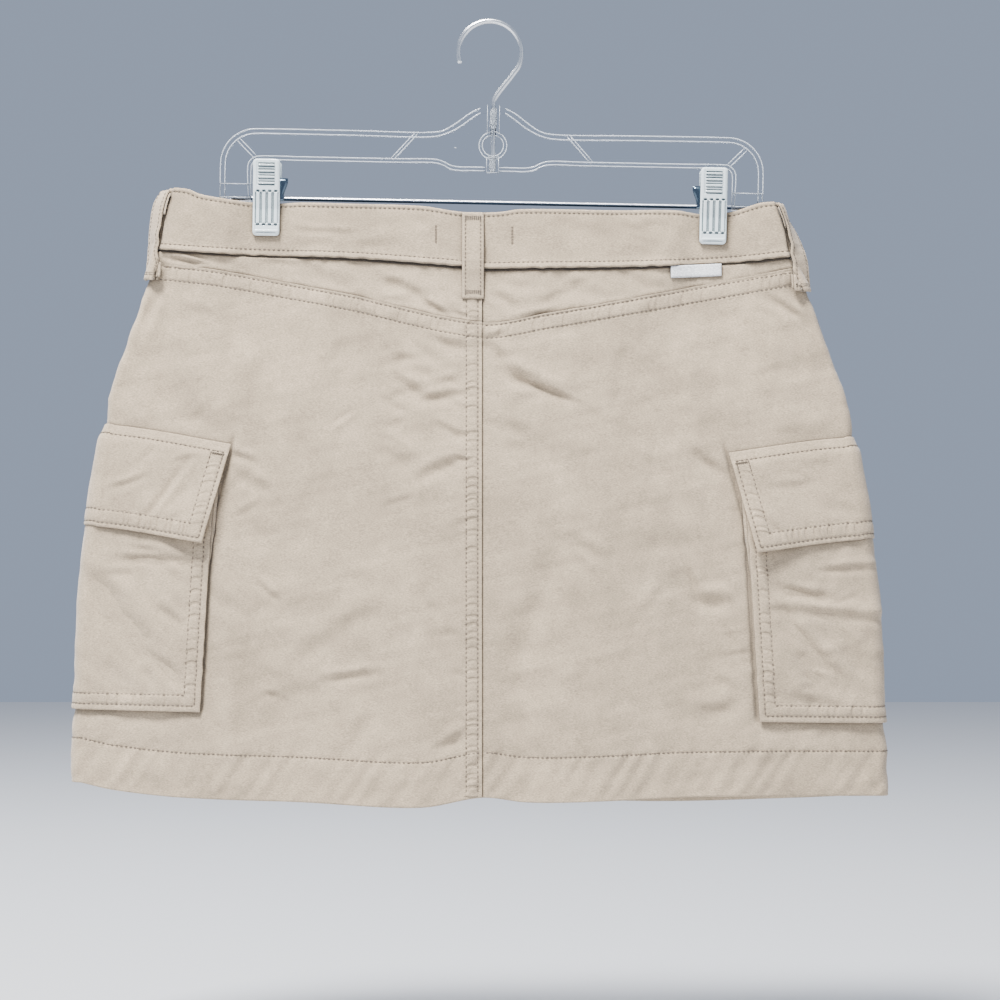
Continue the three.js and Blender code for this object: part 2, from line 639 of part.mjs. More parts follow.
// Outer edge, right half, from the foot up to the middle. inset draws the rib's inner line.
function outerHalf(inset) {
  return [
    [FRAME_HALF - inset, FRAME_FOOT],
    ...arc(FRAME_HALF - CORNER, FRAME_TOP - CORNER, CORNER - inset, 0, 90, 6),
    [38 + inset * 0.4, FRAME_TOP - inset],
    [31 + inset * 0.3, FRAME_TOP + 1.6 - inset],
    [24 - inset * 0.4, FRAME_TOP + 6 - inset],
    [14.5 - inset * 0.6, HUMP_TOP - 3.2 - inset * 0.9],
    [8, HUMP_TOP - inset],
  ];
}
// Under edge, right half, from the foot up and in to the middle.
function underHalf(inset, legInset) {
  const fillet = 5;
  return [
    [LEG_INNER + legInset, FRAME_FOOT],
    ...arc(LEG_INNER - fillet, BAR_UNDER - fillet, fillet + inset, 0, 90, 3),
    [35 + inset * 0.3, BAR_UNDER + inset],
    [24 + inset * 0.3, DIP_UNDER + inset],
  ];
}
const outerEdgeHalf = outerHalf(0);
const underEdgeHalf = underHalf(0, 0);
const frameOutline = [
  ...outerEdgeHalf,
  ...outerEdgeHalf.slice().reverse().map(([u, v]) => [-u, v]),
  ...underEdgeHalf.map(([u, v]) => [-u, v]),
  ...underEdgeHalf.slice().reverse(),
];
const OUTER_RIB = 3.6;
const UNDER_RIB = 2.8;
const LEG_RIB = 2.0;
const ribInsideOuter = outerHalf(OUTER_RIB);
const ribInsideUnder = underHalf(UNDER_RIB, LEG_RIB);
const FOOT_BLOCK_TOP = 9;
const webWindow = [
  ...ribInsideOuter.slice(1),
  ...ribInsideOuter.slice(1).reverse().map(([u, v]) => [-u, v]),
  [-FRAME_HALF + OUTER_RIB, FOOT_BLOCK_TOP],
  [-LEG_INNER - LEG_RIB, FOOT_BLOCK_TOP],
  ...ribInsideUnder.slice(1).map(([u, v]) => [-u, v]),
  ...ribInsideUnder.slice(1).reverse(),
  [LEG_INNER + LEG_RIB, FOOT_BLOCK_TOP],
  [FRAME_HALF - OUTER_RIB, FOOT_BLOCK_TOP],
];
const RING_V = 37;
const RING_OUT = 9.3;
const RING_HOLE = 6.6;
const STEM_U = 0.4;
function ribBetween(u0, v0, u1, v1, width) {
  const length = Math.hypot(u1 - u0, v1 - v0);
  const du = (v1 - v0) / length * width / 2;
  const dv = -(u1 - u0) / length * width / 2;
  return slab([[u0 + du, v0 + dv], [u1 + du, v1 + dv], [u1 - du, v1 - dv], [u0 - du, v0 - dv]], RIB_DEPTH);
}
const SOCKET_HALF = 4.2;
const HOOK_WIRE = 1.6;
let frame = solid(slab(frameOutline, RIB_DEPTH)).subtract(solid(slab(webWindow, RIB_DEPTH + 2)));
frame = frame.add(solid(slab(frameOutline, WEB)));
for (const side of [-1, 1]) {
  frame = frame.add(solid(ribBetween(side * 164.5, 37.5, side * 153.5, 26.5, 2.2)));
  frame = frame.add(solid(ribBetween(side * 49.3, 44.2, side * 65, 26.8, 2.2)));
}
frame = frame.add(solid(slab(arc(STEM_U, RING_V, RING_OUT, 0, 345, 23), RIB_DEPTH)));
frame = frame.add(solid(box(STEM_U - SOCKET_HALF, STEM_U + SOCKET_HALF, -4, 4, DIP_UNDER - 1, 29.5)));
frame = frame.add(solid(box(STEM_U - SOCKET_HALF, STEM_U + SOCKET_HALF, -4, 4, 45.4, HUMP_TOP + 1.5)));
frame = frame.subtract(solid(slab(arc(STEM_U, RING_V, RING_HOLE, 0, 345, 23), RIB_DEPTH + 2)));

// The rod's ends sit in blind round sockets in the feet.
const ROD_RADIUS = 1.4;
const SOCKET_RADIUS = 2.5;
const SOCKET_DEPTH = 15;
function bar(radius, length, middle) {
  const geometry = new THREE.CylinderGeometry(radius, radius, length, 16);
  geometry.rotateZ(Math.PI / 2);
  geometry.translate(middle, 0, 0);
  return geometry;
}
for (const side of [-1, 1]) {
  const socket = bar(SOCKET_RADIUS, FRAME_HALF - LEG_INNER, side * (FRAME_HALF + LEG_INNER) / 2);
  const from = Math.min(side * FRAME_HALF, side * LEG_INNER);
  const to = from + FRAME_HALF - LEG_INNER;
  const block = box(from, to, -SOCKET_RADIUS, SOCKET_RADIUS, 0, FOOT_BLOCK_TOP + 0.5);
  const hole = bar(ROD_RADIUS + 0.3, SOCKET_DEPTH, side * (LEG_INNER - 0.5 + SOCKET_DEPTH / 2));
  frame = frame.add(solid(socket)).add(solid(block)).subtract(solid(hole));
}
// The stem's hole runs down from the top of the hump into the lower socket.
const STEM_FOOT = 22.5;
const stemHole = new THREE.CylinderGeometry(HOOK_WIRE + 0.3, HOOK_WIRE + 0.3, 60, 16);
stemHole.rotateX(Math.PI / 2);
stemHole.translate(STEM_U, 0, STEM_FOOT + 30);
frame = frame.subtract(solid(stemHole));
add('hanger_frame', hang(geometryOf(frame)), CLEAR);

const rodLength = 2 * (LEG_INNER + SOCKET_DEPTH - 2);
add('hanger_rod', hang(welded(bar(ROD_RADIUS, rodLength, 0))), STEEL);

// Hook: one bent wire. Its stem turns freely in the frame; above it bends out and over.
const HOOK_INNER = 19;
const HOOK_LINE = HOOK_INNER + HOOK_WIRE;
function hookLine() {
  const foot = toHanger(STEM_U, 0, STEM_FOOT + 0.5);
  const neck = toHanger(STEM_U, 0, HUMP_TOP + 5);
  const points = [foot, foot.clone().lerp(neck, 0.5), foot.clone().lerp(neck, 0.9), neck];
  const centre = new THREE.Vector3(0, 0, -HOOK_INNER);
  for (const degrees of steps(-45, 200, 12)) {
    const angle = degrees * Math.PI / 180;
    const spoke = new THREE.Vector3(Math.cos(angle), 0, Math.sin(angle));
    points.push(spoke.multiplyScalar(HOOK_LINE).add(centre));
  }
  return new THREE.CatmullRomCurve3(points, false, 'centripetal');
}
const wire = new THREE.Shape();
wire.absarc(0, 0, HOOK_WIRE, 0, 2 * Math.PI, false);
const hook = new THREE.ExtrudeGeometry(wire, {
  steps: 44, curveSegments: 10, bevelEnabled: false, extrudePath: hookLine(),
});
add('hook', welded(hook), STEEL);

// Clips: two ribbed jaws with a bent steel spring between them, astride the rod.
const JAW_TOP = 25.9;
const JAW_FOOT = -24.5;
const BITE = PINCH_HALF + BAND_OUT + LAYER_GAP + 0.15;
const JAW_LINE = [
  { v: JAW_FOOT, in: BITE, out: BITE + 2.2 },
  { v: -21.5, in: BITE, out: BITE + 3.1 },
  { v: -7, in: BITE + 0.3, out: BITE + 3.4 },
  { v: -1, in: BITE + 1.6, out: BITE + 4.6 },
  { v: 12, in: BITE + 4.4, out: BITE + 6.8 },
  { v: JAW_TOP, in: BITE + 7.4, out: BITE + 9.2 },
];
function jaw(centre, face) {
  const outline = [
    ...JAW_LINE.map((row) => [face * row.in, row.v]),
    ...JAW_LINE.slice().reverse().map((row) => [face * row.out, row.v]),
  ];
  const shape = new THREE.Shape(outline.map(([y, v]) => new THREE.Vector2(y, v)));
  const geometry = new THREE.ExtrudeGeometry(shape, { depth: CLIP_WIDTH, bevelEnabled: false, steps: 1 });
  geometry.translate(0, 0, -CLIP_WIDTH / 2);
  const points = geometry.attributes.position;
  for (let i = 0; i < points.count; i += 1) {
    points.setXYZ(i, centre + points.getZ(i), points.getX(i), points.getY(i));
  }
  return closedSolid(geometry);
}
function closedSolid(geometry) {
  const plain = geometry.index ? geometry.toNonIndexed() : geometry;
  const faces = Array.from({ length: plain.attributes.position.count }, (_, i) => i);
  return welded(closed(Array.from(plain.attributes.position.array), faces));
}
const SPRING_IN = 1.9;
const SPRING_OUT = 2.8;
const SPRING_FOOT = -1.5;
const SPRING_TOP = 13.4;
function spring(centre, inward) {
  const outside = arc(0, SPRING_TOP - SPRING_OUT, SPRING_OUT, 0, 180, 6);
  const inside = arc(0, SPRING_TOP - SPRING_OUT, SPRING_IN, 180, 0, 6);
  const outline = [
    [SPRING_OUT, SPRING_FOOT], ...outside, [-SPRING_OUT, SPRING_FOOT],
    [-SPRING_IN, SPRING_FOOT], ...inside, [SPRING_IN, SPRING_FOOT],
  ];
  const shape = new THREE.Shape(outline.map(([y, v]) => new THREE.Vector2(y, v)));
  const from = centre - inward * 7.5;
  const to = centre + inward * 13.6;
  const length = Math.abs(to - from);
  const geometry = new THREE.ExtrudeGeometry(shape, { depth: length, bevelEnabled: false, steps: 1 });
  const points = geometry.attributes.position;
  for (let i = 0; i < points.count; i += 1) {
    points.setXYZ(i, Math.min(from, to) + points.getZ(i), points.getX(i), points.getY(i));
  }
  return closedSolid(geometry);
}
for (const [side, name] of [[-1, 'left'], [1, 'right']]) {
  const centre = side * CLIP_X - HANGER_X;
  add(`clip_${name}_back_jaw`, hang(jaw(centre, -1)), PALE);
  add(`clip_${name}_front_jaw`, hang(jaw(centre, 1)), PALE);
  add(`clip_${name}_spring`, hang(spring(centre, -side)), STEEL);
}

export default group;
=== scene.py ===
import bpy
import math
import numpy as np
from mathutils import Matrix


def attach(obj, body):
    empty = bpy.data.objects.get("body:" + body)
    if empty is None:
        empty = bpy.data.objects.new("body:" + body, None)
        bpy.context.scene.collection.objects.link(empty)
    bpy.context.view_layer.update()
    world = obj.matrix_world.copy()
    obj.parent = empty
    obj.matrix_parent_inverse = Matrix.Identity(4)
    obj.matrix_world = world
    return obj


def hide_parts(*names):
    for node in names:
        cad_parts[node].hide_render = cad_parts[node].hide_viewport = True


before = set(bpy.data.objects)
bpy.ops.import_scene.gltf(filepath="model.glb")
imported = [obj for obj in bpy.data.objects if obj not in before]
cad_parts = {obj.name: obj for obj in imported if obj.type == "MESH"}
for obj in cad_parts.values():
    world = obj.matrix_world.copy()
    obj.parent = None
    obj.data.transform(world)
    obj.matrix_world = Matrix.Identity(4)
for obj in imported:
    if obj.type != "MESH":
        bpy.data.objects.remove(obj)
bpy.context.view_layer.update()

# Back panels
# Two panels of stone-coloured cotton twill, cut from yoke to hem. They are joined down the
# middle by a flat-felled seam, left over right, sewn with two rows, and their tops are
# turned under and sewn over the yoke in the same way. The hem is turned up and sewn once.
MM = 0.001
SIDES = ((-1, "left"), (1, "right"))
WAIST_DROP = 121.0
TILT = 0.0175
SKIRT_SHIFT = 7.0
FOLD_PART = 0.15
BACK_SEAM_X = 1.8
CLIP_X = 145.0
PINCH_HALF = 2.3
SIDE_SEAM = 0.05
CLOTH = 0.75
FELL_RISE = 0.3
EDGE_RISE = 0.4
PUCKER_PITCH = 5.6
FELL_WIDTH = 12.6
FELL_ROWS = (2.6, 10.0)
YOKE_LAP_ROWS = (1.6, 10.0)
YOKE_PUCKERS = dict(pitch=7.4, slant=0.22, drawn=0.75)
YOKE_POINT = 73.5
SEAM_FOOT = 380.3
HEM_DEEP = 29.0

# Half width, sideways lean, side-fold radius and belly by height below the waist line.
OUTLINE = dict(
    h=[-12, 0, 15, 30, 48, 65, 95, 128, 172, 205, 268, 325, 392],
    half=[196.5, 201.5, 204.5, 207.5, 213.5, 219.5, 230, 240.8, 251, 256.2, 261.8, 264.1, 266.5],
    lean=[-3.5, -3.5, -3.2, -2.8, -1.2, 0, 0, 0, 0, 0, 0, 0, 0],
    fold=[4.4, 4.5, 4.5, 4.5, 4.6, 4.8, 5.0, 5.5, 6.0, 6.3, 6.8, 7.2, 7.6],
    belly=[1.0, 1.2, 1.8, 2.6, 4.4, 6.5, 9.5, 12.2, 14.5, 15.5, 17, 18, 18.5],
)
# How far the panel lies inside the outline where a pocket wraps it.
TUCK = dict(h=[128, 150, 205, 240, 318, 345], inside=[0, 3.4, 3.9, 2.7, 2.6, 0])
# The largest soft folds: middle, half length down the skirt, sideways drift, width, height.
FOLDS = dict(
    face=[-1, -1, -1, -1, -1, 1, 1],
    x=[24, 74, -48, -128, 140, -60, 70],
    h=[345, 330, 350, 300, 290, 330, 320],
    run=[95, 120, 110, 130, 120, 110, 120],
    lean=[-0.05, 0.06, -0.04, 0.05, -0.04, 0.05, -0.05],
    wide=[17, 30, 28, 24, 24, 24, 30],
    out=[-5, 3, 3, -2.5, -2.5, -3.5, 3],
)
# Seams and edges: height below the waist line by place across, -1 left fold to 1 right.
BACK_BAND_SEAM = dict(
    f=[-1, -0.8, -0.41, -0.23, -0.05, 0.02, 0.14, 0.46, 0.67, 0.87, 1],
    h=[30, 32, 33.6, 35.4, 37.8, 38.9, 38.2, 36.3, 34.1, 30.9, 27.7],
)
YOKE_SEAM = dict(
    f=[-1, -0.8, -0.41, 0, 0.19, 0.52, 0.76, 1],
    h=[39, 43.2, 57, 74, 67.7, 54.4, 44.5, 35.2],
)
BACK_HEM = dict(
    f=[-1, -0.915, -0.755, -0.44, -0.15, 0, 0.11, 0.345, 0.49, 0.75, 1],
    h=[376.5, 380.7, 384.3, 385.7, 387.3, 380.5, 383.2, 380.7, 378.5, 376.6, 376.1],
)


def curve(table, at, value):
    """A smooth curve through one column of a table, flat beyond its ends."""
    t = np.array(table[at], float)
    v = np.array(table[value], float)
    before = np.maximum(np.arange(len(t)) - 1, 0)
    after = np.minimum(np.arange(len(t)) + 1, len(t) - 1)
    slope = (v[after] - v[before]) / (t[after] - t[before])

    def read(x):
        x = np.clip(x, t[0], t[-1])
        i = np.clip(np.searchsorted(t, x), 1, len(t) - 1)
        span = t[i] - t[i - 1]
        s = (x - t[i - 1]) / span
        bend = s * (1 - s) * span
        rise = (v[i] - v[i - 1]) * s * s * (3 - 2 * s)
        return v[i - 1] + rise + bend * (slope[i - 1] * (1 - s) - slope[i] * s)

    return read


def smooth(low, high, t):
    s = np.clip((t - low) / (high - low), 0, 1)
    return s * s * (3 - 2 * s)


outline_half = curve(OUTLINE, "h", "half")
outline_lean = curve(OUTLINE, "h", "lean")
fold_radius = curve(OUTLINE, "h", "fold")
belly_depth = curve(OUTLINE, "h", "belly")
pocket_tuck = curve(TUCK, "h", "inside")
back_band_seam = curve(BACK_BAND_SEAM, "f", "h")
yoke_seam = curve(YOKE_SEAM, "f", "h")
back_hem = curve(BACK_HEM, "f", "h")


def quarter_of(girth):
    """Which side, which face and how far in from the fold a place on the girth is."""
    turn = np.mod(girth, 4)
    side = np.where((turn <= 1) | (turn > 3), -1.0, 1.0)
    face = np.where(turn <= 2, -1.0, 1.0)
    q = np.select([turn <= 1, turn <= 2, turn <= 3], [turn, 2 - turn, turn - 2], 4 - turn)
    return side, face, q


def inward_of(q):
    return np.maximum(0, (q - FOLD_PART) / (1 - FOLD_PART))


def place_across(girth):
    side, _, q = quarter_of(girth)
    return side * (1 - inward_of(q))


def panel_reach(h):
    return outline_half(h) - pocket_tuck(h) - fold_radius(h)


def skirt_x(girth, h):
    """Distance right of the skirt's middle."""
    side, face, q = quarter_of(girth)
    inward = inward_of(q)
    middle = np.where(face < 0, BACK_SEAM_X, 0.0)
    turn = np.minimum(q, FOLD_PART) / FOLD_PART * np.pi / 2
    round_part = side * fold_radius(h) * np.cos(turn)
    return side * panel_reach(h) * (1 - inward) + middle * inward + outline_lean(h) + round_part


def pinch(x, h):
    """How hard the jaws press the two walls together: 1 between them, 0 away."""
    from_jaws = np.abs(np.abs(x - SKIRT_SHIFT) - CLIP_X)
    spread = 24 + 0.45 * np.maximum(0, h - 10)
    return (1 - smooth(10, spread, from_jaws)) * (1 - smooth(26, 112, h))


def soft_folds(face, x, h):
    out = np.zeros(np.broadcast(x, h).shape)
    for i in range(len(FOLDS["x"])):
        along = (h - FOLDS["h"][i]) / FOLDS["run"][i]
        drift = FOLDS["lean"][i] * (h - FOLDS["h"][i])
        across = (x - FOLDS["x"][i] - drift) / FOLDS["wide"][i]
        bump = FOLDS["out"][i] * np.exp(-across**2 - along**4)
        out += np.where(face == FOLDS["face"][i], bump, 0)
    return out


def wall_point(girth, h):
    """Outer face of the skirt's wall, in millimetres. Girth 0 is the left fold, 1 the
    centre back, 2 the right fold and 3 the centre front."""
    side, face, q = quarter_of(girth)
    inward = inward_of(q)
    radius = fold_radius(h)
    x = skirt_x(girth, h)
    turn = np.minimum(q, FOLD_PART) / FOLD_PART * np.pi / 2
    free = radius + belly_depth(h) * (1 - (1 - inward) ** 2.4) + soft_folds(face, x, h)
    held = pinch(x, h)
    flat = free * (1 - held) + PINCH_HALF * held
    depth = np.where(q <= FOLD_PART, radius * np.sin(turn), flat)
    right = x - SKIRT_SHIFT
    return np.stack([right, face * depth, -WAIST_DROP - TILT * right - h], -1)


def wall_normal(girth, h):
    step = 0.004
    along = wall_point(girth + step, h) - wall_point(girth - step, h)
    down = wall_point(girth, h + 1) - wall_point(girth, h - 1)
    normal = np.cross(down, along)
    return normal / np.linalg.norm(normal, axis=-1, keepdims=True)


def wall(girth, h, out):
    girth, h = np.broadcast_arrays(np.asarray(girth, float), np.asarray(h, float))
    return wall_point(girth, h) + wall_normal(girth, h) * np.asarray(out)[..., None]


def girth_at(face, x, h):
    """Girth of a place x across on one face."""
    reach = panel_reach(h)
    middle = BACK_SEAM_X if face < 0 else 0.0
    place = x - outline_lean(h)
    side = np.where(place < middle, -1.0, 1.0)
    q = FOLD_PART + (1 - FOLD_PART) * (reach - side * place) / (reach - side * middle)
    if face < 0:
        return np.where(side < 0, q, 2 - q)
    return np.where(side > 0, 2 + q, 4 - q)


def mesh_piece(name, points, faces, material):
    """A mesh piece from points in millimetres, riding with the part."""
    mesh = bpy.data.meshes.new(name)
    mesh.from_pydata((np.asarray(points) * MM).tolist(), [], faces)
    mesh.polygons.foreach_set("use_smooth", [True] * len(mesh.polygons))
    mesh.materials.append(material)
    piece = bpy.data.objects.new(name, mesh)
    bpy.context.scene.collection.objects.link(piece)
    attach(piece, "root")
    return piece


def shell(outer, inner, soften=0.3, skip=3):
    """Points and faces of the closed sheet between two grids, its rim slightly rounded. The
    unseen inner side keeps one point in every few."""
    outer = outer.copy()
    inner = inner.copy()
    rim = np.zeros(outer.shape[:2], bool)
    rim[[0, -1], :] = True
    rim[:, [0, -1]] = True
    moved = (inner[rim] - outer[rim]) * soften
    outer[rim] += moved
    inner[rim] -= moved
    tall, wide = rim.shape
    rows = sorted({*range(0, tall - 1, skip), tall - 1})
    columns = sorted({*range(0, wide - 1, skip), wide - 1})
    front = np.arange(tall * wide).reshape(tall, wide)
    back = np.arange(len(rows) * len(columns)).reshape(len(rows), len(columns)) + tall * wide
    kept = inner[np.ix_(rows, columns)]
    front_quads = np.stack([front[:-1, :-1], front[1:, :-1], front[1:, 1:], front[:-1, 1:]], -1)
    back_quads = np.stack([back[:-1, :-1], back[:-1, 1:], back[1:, 1:], back[1:, :-1]], -1)
    quads = np.concatenate([front_quads.reshape(-1, 4), back_quads.reshape(-1, 4)]).tolist()

    def strip(fine, coarse, places, flip):
        edge = []
        for k in range(len(coarse) - 1):
            low, high = places[k], places[k + 1]
            middle = (low + high + 1) // 2
            edge.append((fine[middle], coarse[k + 1], coarse[k]))
            for j in range(low, high):
                near = coarse[k] if j < middle else coarse[k + 1]
                edge.append((fine[j], fine[j + 1], near))
        return [tuple(int(i) for i in (face[::-1] if flip else face)) for face in edge]

    faces = quads + strip(front[0], back[0], columns, False) + strip(front[-1], back[-1], columns, True)
    faces += strip(front[:, 0], back[:, 0], rows, True) + strip(front[:, -1], back[:, -1], rows, False)
    across = np.cross(outer[1:, 1:] - outer[:-1, :-1], outer[:-1, 1:] - outer[1:, :-1])
    faces_out = np.einsum("ijk,ijk->", across, (outer - inner)[:-1, :-1]) > 0
    if not faces_out:
        faces = [face[::-1] for face in faces]
    return np.concatenate([outer.reshape(-1, 3), kept.reshape(-1, 3)]), faces


def heights(top, bottom, near_top, middle, near_bottom):
    """Rows of heights from a top edge to a bottom edge: set distances near each edge and
    an even spread of the given number between them."""
    first = top + np.array(near_top)[:, None]
    last = bottom - np.array(near_bottom)[:, None]
    part = np.linspace(0, 1, middle + 2)[1:-1, None]
    return np.concatenate([first, first[-1] + (last[0] - first[-1]) * part, last])


def wave(along, pitch, seed):
    """Uneven ripples about one pitch apart, from -1 to 1."""
    phases = np.random.RandomState(seed).uniform(0, 2 * np.pi, 4)
    ripple = np.cos(2 * np.pi * along / pitch + phases[0])
    ripple += 0.7 * np.cos(2 * np.pi * along / (pitch * 1.43) + phases[1])
    ripple += 0.5 * np.cos(2 * np.pi * along / (pitch * 0.77) + phases[2])
    ripple *= 0.65 + 0.35 * np.cos(2 * np.pi * along / (pitch * 6.1) + phases[3])
    return ripple / 2.2


def puckers(along, pitch, seed, sharp=1.0):
    """Uneven cross creases about one pitch apart: sharp valleys between low swells."""
    kinds = 97
    source = np.random.RandomState(seed)
    strength = source.uniform(0.15, 1.0, kinds)
    shift = source.uniform(-0.33, 0.33, kinds)
    place = along / pitch
    nearest = np.round(place).astype(int)
    total = np.full(place.shape, 0.3)
    for step in (-1, 0, 1):
        which = np.mod(nearest + step, kinds)
        away = (place - nearest - step - shift[which]) * pitch
        total = total - strength[which] * np.exp(-(away / sharp) ** 2)
    return total


def crumple(x, h, pitch, seed, count=14):
    """Faint uneven swells in every direction, about one pitch apart, from -1 to 1."""
    source = np.random.RandomState(seed)
    total = np.zeros(np.broadcast(x, h).shape)
    for _ in range(count):
        angle, phase = source.uniform(0, 2 * np.pi, 2)
        length = pitch * source.uniform(0.7, 1.6)
        total += np.cos(2 * np.pi * (x * np.cos(angle) + h * np.sin(angle)) / length + phase)
    return total / math.sqrt(count) / 1.6


# Creases as pressed lines: both ends, width and depth. Each is a trough with a low ridge
# along one side. Below zero depth turns them over.
BACK_CREASES = [
    dict(x0=19, h0=103, x1=52, h1=119.5, wide=6, deep=1.5),
    dict(x0=28, h0=111, x1=60, h1=122, wide=2.4, deep=0.7),
    dict(x0=9, h0=88, x1=24, h1=105, wide=5, deep=0.7),
    dict(x0=5, h0=82, x1=14, h1=79.5, wide=3, deep=1.1),
    dict(x0=4, h0=85, x1=20, h1=99, wide=6, deep=1.1),
    dict(x0=9, h0=137, x1=32, h1=141, wide=6, deep=0.6),
    dict(x0=4, h0=119, x1=12, h1=119, wide=3, deep=0.4),
    dict(x0=-52, h0=111, x1=-31, h1=123, wide=5, deep=0.9),
    dict(x0=-33, h0=123.5, x1=-9, h1=118.5, wide=4, deep=0.9),
    dict(x0=-46, h0=104, x1=-28, h1=108, wide=5, deep=0.5),
    dict(x0=-38, h0=173, x1=-13, h1=162, wide=5, deep=0.9),
    dict(x0=-14, h0=161.5, x1=-2, h1=163.5, wide=2.4, deep=0.7),
    dict(x0=-25, h0=139, x1=-10, h1=146, wide=3.6, deep=0.7),
    dict(x0=-60, h0=152, x1=-46, h1=163, wide=8, deep=0.8),
    dict(x0=-64, h0=101, x1=-44, h1=91, wide=5, deep=0.3),
    dict(x0=-42, h0=87, x1=-23, h1=98, wide=5, deep=0.3),
    dict(x0=-28, h0=113, x1=-10, h1=105, wide=4, deep=0.35),
    dict(x0=-22, h0=124, x1=-3, h1=130, wide=4, deep=0.5),
    dict(x0=-58, h0=123, x1=-38, h1=115, wide=4.4, deep=0.35),
    dict(x0=-93, h0=143, x1=-82, h1=134, wide=2.6, deep=-0.5),
    dict(x0=-126, h0=70, x1=-120, h1=150, wide=16, deep=1.2),
    dict(x0=-98, h0=68, x1=-92, h1=120, wide=12, deep=-0.8),
    dict(x0=-62, h0=76, x1=-56, h1=95, wide=5, deep=0.5),
    dict(x0=-27, h0=83, x1=-5, h1=90.5, wide=4.5, deep=0.9),
    dict(x0=-152, h0=66, x1=-160, h1=110, wide=12, deep=0.9),
    dict(x0=-203, h0=100, x1=-176, h1=136, wide=14, deep=1.1),
    dict(x0=-209, h0=62, x1=-214, h1=84, wide=5, deep=0.9),
    dict(x0=190, h0=55, x1=208, h1=64, wide=4, deep=1.1),
    dict(x0=176, h0=60, x1=184, h1=100, wide=12, deep=0.8),
    dict(x0=127, h0=70, x1=132, h1=140, wide=14, deep=1.1),
    dict(x0=98, h0=70, x1=94, h1=130, wide=14, deep=-0.8),
    dict(x0=204, h0=80, x1=214, h1=98, wide=5, deep=0.5),
    dict(x0=140, h0=152, x1=158, h1=168, wide=5, deep=0.9),
    dict(x0=118, h0=150, x1=138, h1=186, wide=12, deep=0.8),
    dict(x0=40, h0=140, x1=64, h1=172, wide=14, deep=0.9),
    dict(x0=58, h0=212, x1=78, h1=220, wide=6, deep=0.8),
    dict(x0=20, h0=278, x1=46, h1=212, wide=12, deep=0.9),
    dict(x0=136, h0=230, x1=144, h1=252, wide=3.6, deep=0.9),
    dict(x0=143, h0=247, x1=162, h1=252, wide=7, deep=1.4),
    dict(x0=126, h0=205, x1=150, h1=240, wide=14, deep=0.9),
    dict(x0=160, h0=268, x1=170, h1=286, wide=4, deep=0.6),
    dict(x0=152, h0=296, x1=166, h1=306, wide=5, deep=0.5),
    dict(x0=140, h0=322, x1=166, h1=316, wide=8, deep=0.9),
    dict(x0=-143, h0=244, x1=-131, h1=252, wide=3.5, deep=0.7),
    dict(x0=-170, h0=246, x1=-158, h1=262, wide=6, deep=0.7),
    dict(x0=-168, h0=286, x1=-166, h1=350, wide=9, deep=0.9),
    dict(x0=-98, h0=304, x1=-69, h1=301, wide=3.8, deep=0.9),
    dict(x0=-132, h0=318, x1=-102, h1=310, wide=8, deep=0.8),
    dict(x0=-92, h0=274, x1=-66, h1=256, wide=7, deep=0.6),
    dict(x0=-120, h0=292, x1=-96, h1=278, wide=8, deep=0.5),
    dict(x0=-88, h0=348, x1=-70, h1=330, wide=7, deep=0.6),
    dict(x0=-26, h0=346, x1=-10, h1=337, wide=4, deep=0.8),
    dict(x0=-160, h0=160, x1=-146, h1=166, wide=4, deep=0.8),
    dict(x0=-156, h0=170, x1=-136, h1=182, wide=6, deep=0.7),
]
CREASE_HALF = 0.8
CREASE_DEPTH = 1.4
CREASE_WIDTH = 0.75


def creases(rows, x, h):
    """Each row's trough and, above it, its ridge: the line itself is the slope between."""
    out = np.zeros(np.broadcast(x, h).shape)
    for row in rows:
        dx = row["x1"] - row["x0"]
        dh = row["h1"] - row["h0"]
        length = math.hypot(dx, dh)
        along = ((x - row["x0"]) * dx + (h - row["h0"]) * dh) / length
        across = ((x - row["x0"]) * dh - (h - row["h0"]) * dx) / length
        taper = smooth(-0.45, 0.35, along / length) * (1 - smooth(0.65, 1.45, along / length))
        wide = CREASE_WIDTH * row["wide"] * (1 + 0.1 * np.sin(along / 5.5 + row["x0"]))
        bowed = across + 0.35 * wide * np.sin(along / length * 2.4 + row["h0"])
        trough = np.exp(-(bowed / wide + CREASE_HALF) ** 2)
        ridge = 0.8 * np.exp(-(bowed / wide - CREASE_HALF) ** 2)
        out += row["deep"] * taper * (ridge - trough)
    return out


def small_creases(x, h, count, seed, angle=0, spread=35, long=(8, 20), wide=(2.6, 5), deep=(0.12, 0.36)):
    """Rows for short creases strewn over a patch, x and h its ranges, about one angle."""
    source = np.random.RandomState(seed)
    rows = []
    for _ in range(count):
        turn = math.radians(angle + source.uniform(-spread, spread))
        length = source.uniform(*long)
        x0 = source.uniform(*x)
        h0 = source.uniform(*h)
        rows.append(dict(
            x0=x0,
            h0=h0,
            x1=x0 + length * math.cos(turn),
            h1=h0 + length * math.sin(turn),
            wide=source.uniform(*wide),
            deep=source.uniform(*deep),
        ))
    return rows


BACK_CREASES += small_creases((-66, -14), (80, 205), 14, 71, angle=8)
BACK_CREASES += small_creases((4, 44), (84, 190), 7, 72, angle=14)
BACK_CREASES += small_creases((-205, -70), (62, 190), 10, 73, angle=-20, spread=60, wide=(3.5, 7))
BACK_CREASES += small_creases((60, 200), (62, 190), 10, 74, angle=20, spread=60, wide=(3.5, 7))
BACK_CREASES += small_creases((126, 160), (170, 330), 8, 75, angle=20, spread=40)
BACK_CREASES += small_creases((-168, -136), (170, 330), 8, 76, angle=-20, spread=40)
BACK_CREASES += small_creases((-120, 120), (200, 345), 12, 77, spread=50, long=(10, 30), wide=(4, 8))
BACK_CREASES += small_creases((-22, -12), (200, 350), 8, 78, spread=25)

